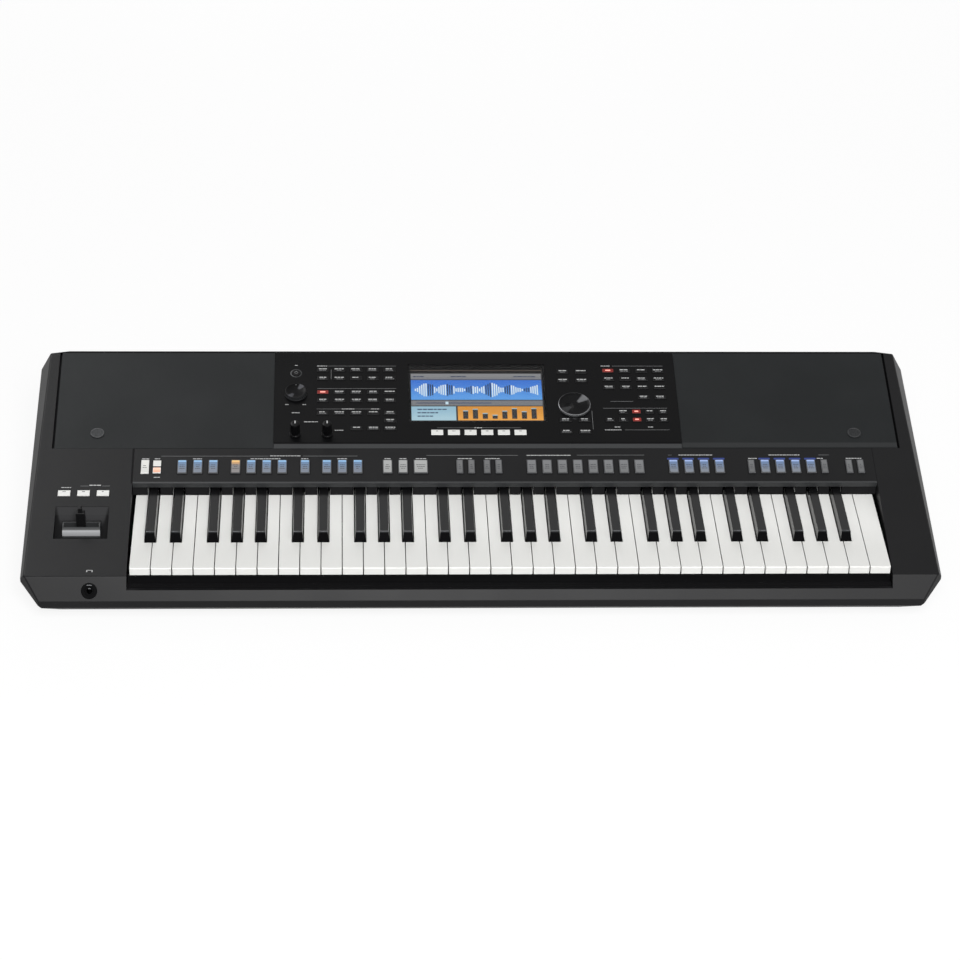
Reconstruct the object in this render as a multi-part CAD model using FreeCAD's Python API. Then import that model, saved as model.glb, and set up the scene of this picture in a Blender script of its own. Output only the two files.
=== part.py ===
import FreeCAD, Part
import math
import os

os.makedirs("parts", exist_ok=True)

Vec = FreeCAD.Vector

# Arranger keyboard, in millimetres. +X is the player's right, -Y faces the player, +Z is up.
# The origin is at the bottom centre of the box. The sloping top has a frame of its own:
# x along the keys, v up the slope from the top's front edge, w out of the top.

# Case outline. The keys and panels set the width, depth and height.
left_cheek = 117.0
right_cheek = 56.0
wall = 3.2
slope_angle = 13.0
foot_height = 8.0
parting_height = 24.0
front_edge_setback = 15.5
front_bevel_drop = 23.4
front_band_height = 8.5
front_undercut_run = 24.0
rear_shoulder_run = 35.5
rear_shoulder_drop = 28.0
rear_foot_run = 6.0
rear_foot_rise = 8.0
side_bevel_front = 4.0
side_bevel_back = 12.0
side_bevel_rise_share = 1.75
side_band_front = 3.9
side_undercut_run = 41.5
corner_chamfer = 20.5
rear_sweep_start = 22.0
rear_sweep_share = 6.0
case_edge_round = 2.5

# Fits
cut_over = 5.0
fit_gap = 0.3
running_gap = 0.05
small_share = 0.001

# Keys
key_pitch = 23.4
octave_count = 5
key_gap = 1.0
key_front_setback = 12.5
key_top_height = 71.0
white_key_height = 9.0
white_head_length = 50.0
key_skin = 1.8
key_edge_round = 1.0
black_key_width = 12.0
black_key_top_width = 9.6
black_key_rise = 11.2
black_key_slant = 5.5
black_key_hidden_length = 6.0
black_slot_gap = 0.9
outer_black_shift = 2.5
wide_black_shift = 3.2
key_visible_length = 141.0
key_hidden_length = 64.0
key_tail = 6.0
key_hub_length = 24.0
key_hub_relief = 1.6
pivot_rod_radius = 2.0
key_leg_reach = 110.0
key_leg_length = 6.0
key_leg_width = 4.0
key_leg_drop = 4.0
well_gap = 3.3
rail_drop = 25.5

# Key chassis and what it carries
chassis_plate = 2.5
chassis_drop = 32.0
chassis_front = 2.0
chassis_web_reach = 40.0
chassis_mid_web_reach = 130.0
chassis_end_gap = 0.5
pivot_lug_thickness = 2.4
pivot_lug_radius = 5.0
contact_board_width = 29.0
contact_board_thickness = 1.6
contact_board_drop = 18.0
contact_dome_height = 7.4
contact_dome_radius = 4.5
contact_dome_tip_radius = 3.0
stop_felt_reach = 13.5
stop_felt_width = 3.5
stop_felt_thickness = 2.5
stop_felt_drop = 12.0
leaf_thickness = 0.3
leaf_width = 4.0
leaf_reach = 13.0
leaf_gap = 0.8
slip_reach = 3.0
slip_thickness = 5.5
slip_drop = 0.5
guard_gap = 0.9
guard_setback = 3.9
guard_depth = 2.2
guard_thickness = 1.8
guard_hook = 2.4
guard_notch_gap = 1.2

# Panels let into the sloping top
panel_thickness = 2.0
panel_gap = 0.6
panel_ledge = 6.0
grille_side_gap = 2.8
strip_length = 55.4
strip_lip_depth = 6.6
strip_lip_clearance = 1.65
strip_lip_thickness = 2.5
panel_length = 158.4
panel_back_margin = 2.8
panel_side_margin = 23.0
control_span = 471.2
control_rise = 1.8
control_lip = 8.2
control_corner_round = 4.0
control_post_inset = 4.0
baffle_thickness = 3.2
beam_depth = 14.0
board_drop = 9.0
board_thickness = 1.6
board_post_radius = 2.5
board_edge = 12.0

# Display
display_width = 154.5
display_length = 90.0
display_shift = 1.2
display_place = 89.2
display_border = 3.0
window_thickness = 1.5
module_border = 6.0
module_thickness = 6.0

# Speakers
woofer_inset = 120.0
woofer_row = 79.0
woofer_hole_radius = 54.0
woofer_rim_radius = 66.0
woofer_rim = 3.0
woofer_seat = 1.5
woofer_seat_radius = 58.0
woofer_depth = 41.0
woofer_base_radius = 36.0
woofer_skin = 2.5
coil_radius = 15.0
cone_depth = 24.0
cone_skin = 1.2
cone_edge_radius = 52.0
dust_cap_rise = 5.0
dust_cap_radius = 18.0
magnet_radius = 40.0
magnet_thickness = 18.0
tweeter_inset = 36.0
tweeter_hole_radius = 15.0
tweeter_rim_radius = 24.0
tweeter_rim = 3.0
tweeter_body_radius = 19.0
tweeter_depth = 18.0
tweeter_dome_radius = 13.0
tweeter_dome_rise = 3.0
badge_inset = 50.5
badge_row = 24.5
badge_radius = 8.0
badge_thickness = 0.8

# Push buttons
button_flange = 1.0
button_flange_thickness = 1.2
button_round = 0.5
strip_button_rise = 1.6
strip_button_row = 25.3
strip_button_length = 21.0
strip_button_width = 11.0
strip_button_pitch = 17.65
narrow_button_width = 7.7
narrow_button_pitch = 13.4
wide_button_width = 16.3
tall_button_width = 9.0
small_button_width = 9.0
small_button_length = 8.2
small_button_pitch = 11.1
panel_button_rise = 0.9
panel_button_width = 13.6
panel_button_length = 6.4
part_button_width = 10.4
white_button_width = 13.9
white_button_length = 8.0
cheek_button_row = 125.7
cheek_button_pitch = 21.8
cheek_board_edge = 6.0

# Where the strip's button groups start, from the strip's left end
tall_start = 13.4
small_start = 27.0
style_start_a = 55.5
style_start_b = 116.2
style_start_c = 195.1
style_start_d = 219.9
track_start = 289.2
wide_start = 327.1
bank_start_a = 371.7
bank_start_b = 402.9
registration_start = 454.0
one_touch_start = 617.0
pad_bank_start = 706.7
pad_start = 722.4
pad_stop_start = 790.9
octave_start = 819.5

# The control panel's columns, from its middle, and rows, from its front
left_column = -179.0
left_column_pitch = 19.5
style_row = 113.0
style_row_pitch = 14.3
song_row = 76.3
song_row_pitch = 13.3
transport_row = 55.6
lower_row = 43.0
bottom_row = 30.3
display_button_pitch = 19.25
display_button_row = 23.7
dial_column = 102.8
dial_column_pitch = 21.8
dial_row_top = 109.6
dial_row_top_pitch = 14.8
dial_row_low = 25.0
dial_row_low_pitch = 19.0
voice_column = 156.6
voice_column_pitch = 19.7
voice_row = 98.1
voice_row_pitch = 13.9
voice_extra_row = 81.4
part_column = 154.7
part_column_pitch = 15.55
part_row = 44.1
part_row_pitch = 13.2

# Knobs and the power button
spindle_radius = 3.0
spindle_engage = 8.0
pot_size = 14.0
pot_height = 7.0
knob_float = 0.4
volume_column = -210.3
volume_row = 87.5
volume_radius = 13.0
volume_height = 5.0
volume_spindle_engage = 2.5
live_column = -210.5
live_column_pitch = 36.7
live_row = 20.5
live_radius = 6.5
live_height = 18.0
knob_round = 1.0
knob_draft = 0.8
dial_place = 113.9
dial_row = 67.5
dial_radius = 19.0
dial_height = 3.4
dial_spindle_engage = 1.5
dial_dimple_radius = 5.5
dial_dimple_depth = 1.2
dial_dimple_reach = 8.0
power_row = 122.0
power_radius = 5.0
power_rise = 1.2

# Joystick on the left cheek
joystick_share = 0.46
joystick_width = 60.0
joystick_front = 56.3
joystick_length = 49.5
joystick_depth = 16.0
tray_skin = 3.0
tray_depth = 24.5
barrel_row = 80.0
barrel_drop = 13.0
barrel_radius = 11.0
barrel_length = 42.0
barrel_side_gap = 0.5
barrel_pin_radius = 2.0
barrel_pin_length = 6.0
lever_width = 10.0
lever_thickness = 6.0
lever_rise = 19.0
lever_tip_rise = 26.5
lever_tip_width = 4.6
lever_foot = 4.0
lever_round = 1.6
lever_pin_radius = 1.5
lever_pin_length = 3.0
lever_slot_length = 39.0
lever_slot_depth = 8.0
lever_side_gap = 0.4

# Sockets
jack_bore_radius = 3.2
jack_bore_length = 26.0
jack_entry_radius = 5.2
jack_entry_length = 1.5
jack_back = 3.0
headphone_inset = 40.7
headphone_drop = 16.2
headphone_radius = 9.0
headphone_sink = 1.2
rear_jack_radius = 7.0
rear_jack_count = 4
rear_jack_pitch = 30.0
rear_jack_inset = 90.0
socket_panel_width = 260.0
socket_panel_height = 34.0
socket_panel_level = 66.0
socket_panel_sink = 1.0
socket_flange = 4.0
socket_flange_thickness = 1.5
usb_inset = 60.0
usb_width = 12.0
usb_height = 11.0
usb_depth = 16.0
usb_skin = 1.2
dc_inset = 25.0
dc_radius = 6.0
dc_bore_radius = 2.75
dc_bore_length = 9.0
dc_entry_radius = 4.5

# Main board, feet and screws
main_board_length = 390.0
main_board_width = 100.0
main_board_back = 32.0
main_board_rise = 9.0
standoff_radius = 4.0
standoff_inset = 8.0
foot_radius = 11.0
foot_side = 82.0
foot_front = 52.0
foot_back = 46.0
screw_side = 48.0
screw_row_shares = (-0.35, 0.0, 0.325)
rear_screw_inset = 17.0
rear_screw_pitch = 300.0
screw_radius = 1.5
screw_head_radius = 3.0
screw_head_height = 2.2
screw_seat_height = 16.0
screw_length = 24.0
post_radius = 5.0
boss_width = 10.0
boss_height = 18.0

# Places worked out from the sizes
slope = math.radians(slope_angle)
white_key_count = 7 * octave_count + 1
key_span = white_key_count * key_pitch
well_half = key_span / 2 + well_gap
body_width = left_cheek + 2 * well_half + right_cheek
key_offset = (left_cheek - right_cheek) / 2
strip_left = key_offset - well_half
strip_right = key_offset + well_half
strip_front = (key_visible_length + key_front_setback - front_edge_setback) / math.cos(slope)
panel_front = strip_front + strip_length
panel_back = panel_front + panel_length
top_run = (panel_back + panel_back_margin) * math.cos(slope)
body_depth = front_edge_setback + top_run + rear_shoulder_run
front_y = -body_depth / 2
back_y = body_depth / 2
top_front_y = front_y + front_edge_setback
top_back_y = top_front_y + top_run
black_key_top = key_top_height + black_key_rise
lip_top_z = black_key_top + strip_lip_clearance + strip_lip_depth * math.cos(slope)
top_front_z = lip_top_z - strip_front * math.sin(slope)
body_height = top_front_z + top_run * math.tan(slope)
band_foot_z = top_front_z - front_bevel_drop - front_band_height
floor_z = foot_height + wall
key_front_y = front_y + key_front_setback
key_pivot_reach = key_visible_length + key_hidden_length
pivot_y = key_front_y + key_pivot_reach
key_under_z = key_top_height - white_key_height
pivot_z = key_top_height - white_key_height / 2
rail_height = key_top_height - rail_drop
slip_height = rail_height - slip_drop
chassis_height = key_under_z - chassis_drop
contact_board_height = key_under_z - contact_board_drop
stop_felt_height = key_under_z - stop_felt_drop
side_belt_height = top_front_z - side_bevel_rise_share * side_bevel_front - side_band_front
speaker_half = body_width / 2 - panel_side_margin
control_half = control_span / 2
woofer_place = control_half + woofer_inset
tweeter_place = speaker_half - tweeter_inset
badge_place = speaker_half - badge_inset
joystick_place = strip_left - left_cheek * joystick_share
panel_place = FreeCAD.Placement(Vec(0, top_front_y, top_front_z), FreeCAD.Rotation(Vec(1, 0, 0), slope_angle))


def slope_y(v):
    return top_front_y + v * math.cos(slope)


def box(x0, x1, y0, y1, z0, z1):
    return Part.makeBox(x1 - x0, y1 - y0, z1 - z0, Vec(x0, y0, z0))


def rod(x, y, radius, z0, z1):
    return Part.makeCylinder(radius, z1 - z0, Vec(x, y, z0))


def on_panel(shape):
    shape.Placement = panel_place.multiply(shape.Placement)
    return shape


def panel_box(x0, x1, v0, v1, w0, w1):
    return on_panel(box(min(x0, x1), max(x0, x1), v0, v1, w0, w1))


def panel_rod(x, v, radius, w0, w1):
    return on_panel(rod(x, v, radius, w0, w1))


def spun(profile):
    points = [Vec(radius, 0, height) for radius, height in profile]
    face = Part.Face(Part.makePolygon(points + points[:1]))
    return face.revolve(Vec(0, 0, 0), Vec(0, 0, 1), 360)


def panel_spun(x, v, profile):
    solid = spun(profile)
    solid.translate(Vec(x, v, 0))
    return on_panel(solid)


def prism(outline, x0, x1):
    points = [Vec(x0, y, z) for y, z in outline]
    face = Part.Face(Part.makePolygon(points + points[:1]))
    return face.extrude(Vec(x1 - x0, 0, 0))


def joined(pieces):
    return pieces[0].fuse(pieces[1:]).removeSplitter()


def top_edges(shape, level):
    return [e for e in shape.Edges if all(abs(p.Point.z - level) < wall * small_share for p in e.Vertexes)]


def save(name, pieces):
    solids = [solid for piece in pieces for solid in piece.Solids]
    Part.makeCompound(solids).exportStep("parts/" + name + ".step")
    print(name, len(solids), "solids", round(sum(solid.Volume for solid in solids)))


def half_space(point, normal, inset):
    out = Vec(normal)
    out.normalize()
    block = box(-body_width, body_width, -body_width, body_width, 0, body_width)
    block.Placement = FreeCAD.Placement(point - out * inset, FreeCAD.Rotation(Vec(0, 0, 1), out))
    return block


# The case's outer form: a block cut by its slopes, bevels and undercuts
def side_planes(side):
    x = side * body_width / 2
    front_z = top_front_z - side_bevel_rise_share * side_bevel_front
    back_z = body_height - side_bevel_rise_share * side_bevel_back
    along = Vec(0, top_run, back_z - front_z)
    across = Vec(-side, 0, side_bevel_rise_share)
    return [
        (Vec(x, top_front_y, front_z), along.cross(across) * side),
        (Vec(x, 0, side_belt_height), Vec(side * (side_belt_height - foot_height), 0, -side_undercut_run)),
        (Vec(x, front_y + corner_chamfer, 0), Vec(side, -1, 0)),
        (Vec(x - side * rear_sweep_start, top_back_y, 0), Vec(side, rear_sweep_share, 0)),
    ]


def hull(inset):
    rear_run = back_y - top_back_y
    planes = [
        (Vec(0, top_front_y, top_front_z), Vec(0, -math.sin(slope), math.cos(slope))),
        (Vec(0, top_front_y, top_front_z), Vec(0, -front_bevel_drop, front_edge_setback)),
        (Vec(0, front_y, band_foot_z), Vec(0, foot_height - band_foot_z, -front_undercut_run)),
        (Vec(0, top_back_y, body_height), Vec(0, rear_shoulder_drop, rear_run)),
        (Vec(0, back_y, foot_height + rear_foot_rise), Vec(0, rear_foot_rise, -rear_foot_run)),
    ]
    planes += side_planes(-1) + side_planes(1)
    half = body_width / 2 - inset
    solid = box(-half, half, front_y + inset, back_y - inset, foot_height + inset, body_height)
    for point, normal in planes:
        solid = solid.cut(half_space(point, normal, inset))
    return solid


sharp_skin = hull(0)
skin = sharp_skin.makeFillet(case_edge_round, sharp_skin.Edges)
shell = skin.cut(hull(wall))
mid_skin = hull(wall / 2)
far = body_width

# Screws that join the two cases from below
screw_x = body_width / 2 - screw_side
screw_spots = [(side * screw_x, share * body_depth) for side in (-1, 1) for share in screw_row_shares]
rear_spots = [(step * rear_screw_pitch, back_y - rear_screw_inset) for step in (-1, 0, 1)]


def case_screw(x, y):
    head = rod(x, y, screw_head_radius, screw_seat_height - screw_head_height, screw_seat_height)
    shank = rod(x, y, screw_radius, screw_seat_height - screw_head_height, screw_seat_height + screw_length)
    return joined([head, shank])


def side_boss(x, y):
    out = math.copysign(body_width / 2, x)
    inner = x - math.copysign(post_radius, x)
    block = box(min(inner, out), max(inner, out), y - boss_width / 2, y + boss_width / 2,
                parting_height, parting_height + boss_height)
    return block.common(mid_skin)


def rear_boss(x, y):
    block = box(x - boss_width / 2, x + boss_width / 2, y - post_radius, back_y,
                parting_height, parting_height + boss_height)
    return block.common(mid_skin)


save("case_screws", [case_screw(x, y) for x, y in screw_spots + rear_spots])

# Lower case: a tray with screw posts and board standoffs
board_back_y = back_y - main_board_back
board_front_y = board_back_y - main_board_width
board_spots = [
    (side * (main_board_length / 2 - standoff_inset), y)
    for side in (-1, 1)
    for y in (board_front_y + standoff_inset, board_back_y - standoff_inset)
]
lower_pieces = [shell.common(box(-far, far, -far, far, 0, parting_height))]
lower_pieces += [rod(x, y, post_radius, foot_height, parting_height) for x, y in screw_spots + rear_spots]
lower_pieces += [rod(x, y, standoff_radius, foot_height, floor_z + main_board_rise) for x, y in board_spots]
lower_cuts = []
for x, y in screw_spots + rear_spots:
    lower_cuts.append(rod(x, y, screw_head_radius + fit_gap, 0, screw_seat_height))
    lower_cuts.append(rod(x, y, screw_radius + fit_gap, 0, parting_height + cut_over))
lower_case = joined(lower_pieces).common(skin).cut(lower_cuts)
save("lower_case", [lower_case])

main_board_z = floor_z + main_board_rise
main_board = box(-main_board_length / 2, main_board_length / 2, board_front_y, board_back_y,
                 main_board_z, main_board_z + board_thickness)
save("main_board", [main_board])

foot_x = body_width / 2 - foot_side
foot_spots = [(x, y) for x in (-foot_x, 0, foot_x) for y in (front_y + foot_front, back_y - foot_back)]
save("rubber_feet", [rod(x, y, foot_radius, 0, foot_height) for x, y in foot_spots])


# Push buttons: a cap that stands out of its panel and a flange that keeps it in
def push_button(x, v, width, length, top, under, rise):
    foot = under - fit_gap - button_flange_thickness
    cap = box(x - width / 2, x + width / 2, v - length / 2, v + length / 2, foot, top + rise)
    cap = cap.makeFillet(button_round, top_edges(cap, top + rise))
    half_width = width / 2 + button_flange
    half_length = length / 2 + button_flange
    flange = box(x - half_width, x + half_width, v - half_length, v + half_length, foot, under - fit_gap)
    return on_panel(cap.fuse(flange))


def button_hole(x, v, width, length):
    half_width = width / 2 + fit_gap
    half_length = length / 2 + fit_gap
    depth = wall + baffle_thickness + cut_over
    return panel_box(x - half_width, x + half_width, v - half_length, v + half_length, -depth, cut_over)


def run(start, pitch, count):
    return [start + pitch * step for step in range(count)]


class ButtonGroup:
    def __init__(self, name, spots):
        self.name = name
        self.spots = spots

    def holes(self):
        return [button_hole(*spot) for spot in self.spots]

    def export(self, top, under, rise):
        save(self.name, [push_button(*spot, top, under, rise) for spot in self.spots])


def strip_spots(starts, counts, pitch, width):
    row = strip_front + strip_button_row
    places = [place for start, count in zip(starts, counts) for place in run(start, pitch, count)]
    return [(strip_left + place, row, width, strip_button_length) for place in places]


small_row = strip_front + strip_button_row
small_size = (small_button_width, small_button_length)
small_spots = [
    (strip_left + small_start, small_row + side * small_button_pitch / 2, *small_size)
    for side in (-1, 1)
]
style_starts = [style_start_a, style_start_b, style_start_c, style_start_d]
style_counts = [3, 4, 1, 3]
memory_starts = [track_start, registration_start]
memory_counts = [2, 8]
pad_starts = [one_touch_start, pad_start]
pad_counts = [4, 4]
narrow_starts = [bank_start_a, bank_start_b, pad_bank_start, pad_stop_start, octave_start]
narrow_counts = [2, 2, 1, 1, 2]
single_count = [1]
tall_spots = strip_spots([tall_start], single_count, strip_button_pitch, tall_button_width)
wide_spots = strip_spots([wide_start], single_count, strip_button_pitch, wide_button_width)
style_spots = strip_spots(style_starts, style_counts, strip_button_pitch, strip_button_width)
memory_spots = strip_spots(memory_starts, memory_counts, strip_button_pitch, strip_button_width)
pad_spots = strip_spots(pad_starts, pad_counts, strip_button_pitch, strip_button_width)
narrow_spots = strip_spots(narrow_starts, narrow_counts, narrow_button_pitch, narrow_button_width)
strip_groups = [
    ButtonGroup("strip_left_buttons", tall_spots + small_spots),
    ButtonGroup("style_control_buttons", style_spots),
    ButtonGroup("registration_buttons", memory_spots + wide_spots),
    ButtonGroup("pad_buttons", pad_spots),
    ButtonGroup("narrow_strip_buttons", narrow_spots),
]


def panel_spots(columns, rows, width, length):
    return [(x, panel_front + row, width, length) for row in rows for x in columns]


left_columns = run(left_column, left_column_pitch, 5)
voice_columns = run(voice_column, voice_column_pitch, 4)
part_columns = run(part_column, part_column_pitch, 5)
display_columns = run(display_shift - display_button_pitch * 5 / 2, display_button_pitch, 6)
dial_columns = run(dial_column, dial_column_pitch, 2)
black_size = (panel_button_width, panel_button_length)
part_size = (part_button_width, panel_button_length)
white_size = (white_button_width, white_button_length)
style_category_spots = panel_spots(left_columns, run(style_row, style_row_pitch, 2), *black_size)
song_spots = panel_spots(left_columns, run(song_row, song_row_pitch, 2), *black_size)
song_spots += panel_spots(left_columns, [transport_row], *black_size)
song_spots += panel_spots(left_columns[4:], [lower_row], *black_size)
song_spots += panel_spots(left_columns[2:], [bottom_row], *black_size)
voice_spots = panel_spots(voice_columns, run(voice_row, voice_row_pitch, 3), *black_size)
voice_spots += panel_spots(voice_columns[2:], [voice_extra_row], *black_size)
part_spots = panel_spots(part_columns, [part_row], *part_size)
part_spots += panel_spots(part_columns[1:], [part_row + part_row_pitch], *part_size)
dial_rows = run(dial_row_low, dial_row_low_pitch, 2) + run(dial_row_top, dial_row_top_pitch, 2)
panel_groups = [
    ButtonGroup("style_category_buttons", style_category_spots),
    ButtonGroup("song_buttons", song_spots),
    ButtonGroup("voice_buttons", voice_spots),
    ButtonGroup("part_buttons", part_spots),
    ButtonGroup("dial_buttons", panel_spots(dial_columns, dial_rows, *black_size)),
    ButtonGroup("display_buttons", panel_spots(display_columns, [display_button_row], *white_size)),
]
cheek_columns = run(joystick_place - cheek_button_pitch, cheek_button_pitch, 3)
cheek_group = ButtonGroup("joystick_buttons", [(x, cheek_button_row, *white_size) for x in cheek_columns])

for group in strip_groups:
    group.export(0, -panel_thickness, strip_button_rise)
for group in panel_groups:
    group.export(control_rise, -panel_thickness, panel_button_rise)
cheek_group.export(0, -wall, strip_button_rise)

# The bevel's own direction, for the headphone socket
bevel_normal = Vec(0, -front_bevel_drop, front_edge_setback)
bevel_normal.normalize()
headphone_x = strip_left - headphone_inset
bevel_down = Vec(0, -front_edge_setback, -front_bevel_drop)
bevel_down.normalize()
headphone_point = Vec(headphone_x, top_front_y, top_front_z) + bevel_down * headphone_drop


def on_bevel(shape):
    shape.Placement = FreeCAD.Placement(headphone_point, FreeCAD.Rotation(Vec(0, 0, 1), bevel_normal))
    return shape


# Joystick recess: a ramp that falls from the back to an upright front wall
joystick_half = joystick_width / 2
joystick_back = joystick_front + joystick_length
ramp_run = cut_over * joystick_length / joystick_depth
ramp_outline = [
    (joystick_front, cut_over),
    (joystick_front, -joystick_depth),
    (joystick_back, 0),
    (joystick_back + ramp_run, cut_over),
]


def joystick_recess():
    return on_panel(prism(ramp_outline, joystick_place - joystick_half, joystick_place + joystick_half))


# Upper case: cheeks, rail, key well walls, speaker baffles and the beam behind the strip
woofer_v = panel_front + woofer_row
baffle_under = -panel_thickness - baffle_thickness
upper_pieces = [shell.common(box(-far, far, -far, far, parting_height, body_height))]
for side in (-1, 1):
    inner = key_offset + side * well_half
    outer = inner + side * wall
    upper_pieces.append(box(min(inner, outer), max(inner, outer), front_y, slope_y(panel_front),
                            parting_height, body_height).common(mid_skin))
    upper_pieces.append(panel_box(side * (control_half - panel_ledge), side * (speaker_half + panel_ledge),
                                  panel_front - panel_ledge, panel_back + panel_ledge,
                                  baffle_under, -panel_thickness).common(mid_skin))
upper_pieces.append(panel_box(strip_left - wall, strip_right + wall, panel_front - panel_ledge,
                              panel_front + panel_ledge, baffle_under, -panel_thickness))
upper_pieces.append(panel_box(strip_left - wall, strip_right + wall, panel_front - wall / 2,
                              panel_front + wall / 2, -beam_depth, -panel_thickness))
upper_pieces.append(panel_box(-control_half, control_half, panel_back - panel_ledge, panel_back + panel_ledge,
                              baffle_under, -panel_thickness).common(mid_skin))
upper_pieces += [side_boss(x, y) for x, y in screw_spots]
upper_pieces += [rear_boss(x, y) for x, y in rear_spots]
cheek_board_half = cheek_button_pitch + white_button_width / 2 + cheek_board_edge
cheek_post_spots = [joystick_place + side * (cheek_board_half - board_post_radius) for side in (-1, 1)]
upper_pieces += [
    panel_rod(x, cheek_button_row, board_post_radius, -board_drop, -wall / 2)
    for x in cheek_post_spots
]

upper_cuts = [
    box(strip_left, strip_right, front_y - cut_over, slope_y(strip_front),
        rail_height, body_height + cut_over),
    panel_box(strip_left, strip_right, strip_front - cut_over, panel_front, -panel_thickness, cut_over),
    panel_box(strip_left, strip_right, strip_front - cut_over, strip_front + strip_lip_thickness + fit_gap,
              -strip_lip_depth, cut_over),
    panel_box(strip_left + panel_ledge, strip_right - panel_ledge, strip_front - cut_over,
              panel_front - panel_ledge, baffle_under - cut_over, cut_over),
    panel_box(-speaker_half, speaker_half, panel_front, panel_back, -panel_thickness, cut_over),
    panel_box(panel_ledge - control_half, control_half - panel_ledge, panel_front + panel_ledge,
              panel_back - panel_ledge, baffle_under - cut_over, cut_over),
    joystick_recess(),
    on_bevel(Part.makeCylinder(headphone_radius, wall + 2 * cut_over, Vec(0, 0, -wall - cut_over))),
    box(-socket_panel_width / 2, socket_panel_width / 2, back_y - wall - cut_over, back_y + cut_over,
        socket_panel_level - socket_panel_height / 2, socket_panel_level + socket_panel_height / 2),
]
for side in (-1, 1):
    for place, radius in ((woofer_place, woofer_hole_radius), (tweeter_place, tweeter_hole_radius)):
        upper_cuts.append(panel_rod(side * place, woofer_v, radius, baffle_under - cut_over, cut_over))
upper_cuts += cheek_group.holes()
upper_cuts += [
    rod(x, y, screw_radius + running_gap, parting_height - cut_over, screw_seat_height + screw_length)
    for x, y in screw_spots + rear_spots
]
upper_case = joined(upper_pieces).cut(upper_cuts)
save("upper_case", [upper_case])

# Panels
strip_panel = joined([
    panel_box(strip_left + fit_gap, strip_right - fit_gap, strip_front, panel_front - fit_gap,
              -panel_thickness, 0),
    panel_box(strip_left + fit_gap, strip_right - fit_gap, strip_front, strip_front + strip_lip_thickness,
              -strip_lip_depth, 0),
])
strip_post_v = panel_front - board_edge
strip_post_spots = [strip_left + board_edge * 2, key_offset, strip_right - board_edge * 2]
strip_posts = [
    panel_rod(x, strip_post_v, board_post_radius, -board_drop, -panel_thickness)
    for x in strip_post_spots
]
strip_holes = [hole for group in strip_groups for hole in group.holes()]
save("button_strip_panel", [joined([strip_panel] + strip_posts).cut(strip_holes)])

control_inner = control_half - panel_gap
control_outline = [
    (panel_front + fit_gap, -panel_thickness),
    (panel_back - fit_gap, -panel_thickness),
    (panel_back - fit_gap, control_rise),
    (panel_front + fit_gap + control_lip, control_rise),
    (panel_front + fit_gap, 0),
]
control_block = prism(control_outline, -control_inner, control_inner)
back_corners = [
    edge for edge in control_block.Edges
    if edge.BoundBox.YMin > panel_back - cut_over and edge.BoundBox.ZLength > control_rise
]
control_plate = on_panel(control_block.makeFillet(control_corner_round, back_corners))
control_post_x = control_half - panel_ledge - control_post_inset
control_post_rows = (panel_front + board_edge, panel_back - board_edge)
control_posts = [
    panel_rod(side * control_post_x, v, board_post_radius, -board_drop, -panel_thickness)
    for side in (-1, 1)
    for v in control_post_rows
]
display_v = panel_front + display_place
display_half = display_width / 2
display_reach = display_length / 2
knob_spots = [
    (volume_column, panel_front + volume_row),
    (live_column, panel_front + live_row),
    (live_column + live_column_pitch, panel_front + live_row),
    (dial_place, panel_front + dial_row),
]
power_spot = (volume_column, panel_front + power_row)
window_seat = control_rise - window_thickness
control_cuts = [hole for group in panel_groups for hole in group.holes()]
control_cuts += [
    panel_box(display_shift - display_half, display_shift + display_half, display_v - display_reach,
              display_v + display_reach, -panel_thickness - cut_over, cut_over),
    panel_box(display_shift - display_half - display_border, display_shift + display_half + display_border,
              display_v - display_reach - display_border, display_v + display_reach + display_border,
              window_seat, cut_over),
    panel_rod(*power_spot, power_radius + fit_gap, -panel_thickness - cut_over, cut_over),
]
control_cuts += [panel_rod(x, v, spindle_radius + fit_gap, -board_drop, cut_over) for x, v in knob_spots]
save("control_panel", [joined([control_plate] + control_posts).cut(control_cuts)])

window_half = display_half + display_border - fit_gap
window_reach = display_reach + display_border - fit_gap
save("display_window", [panel_box(display_shift - window_half, display_shift + window_half,
                                  display_v - window_reach, display_v + window_reach,
                                  window_seat, control_rise)])
module_half = display_half + module_border
module_reach = display_reach + module_border
save("display_module", [panel_box(display_shift - module_half, display_shift + module_half,
                                  display_v - module_reach, display_v + module_reach,
                                  -panel_thickness - module_thickness, -panel_thickness)])

save("speaker_grilles", [
    panel_box(side * control_half, side * (speaker_half - grille_side_gap), panel_front + fit_gap,
              panel_back - fit_gap, -panel_thickness, 0)
    for side in (-1, 1)
])
badge_v = panel_front + badge_row
save("grille_badges", [panel_rod(side * badge_place, badge_v, badge_radius, 0, badge_thickness)
                       for side in (-1, 1)])

# Boards under the control panel, the strip and the joystick buttons
control_board_half = control_half - panel_ledge - fit_gap
control_board = panel_box(-control_board_half, control_board_half, panel_front + panel_ledge + fit_gap,
                          panel_back - panel_ledge - fit_gap, -board_drop - board_thickness, -board_drop)
strip_board = panel_box(strip_left + board_edge, strip_right - board_edge, strip_front + board_edge,
                        panel_front - panel_ledge - fit_gap, -board_drop - board_thickness, -board_drop)
cheek_board = panel_box(joystick_place - cheek_board_half, joystick_place + cheek_board_half,
                        cheek_button_row - white_button_length, cheek_button_row + white_button_length,
                        -board_drop - board_thickness, -board_drop)
save("panel_boards", [control_board, strip_board, cheek_board])


# Knobs and the fixed spindles that they turn on
def pot(x, v, engage):
    half = pot_size / 2
    body = box(x - half, x + half, v - half, v + half, -panel_thickness - pot_height, -panel_thickness)
    shaft = rod(x, v, spindle_radius, -panel_thickness, control_rise + knob_float + engage)
    return on_panel(body.fuse(shaft))


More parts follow.
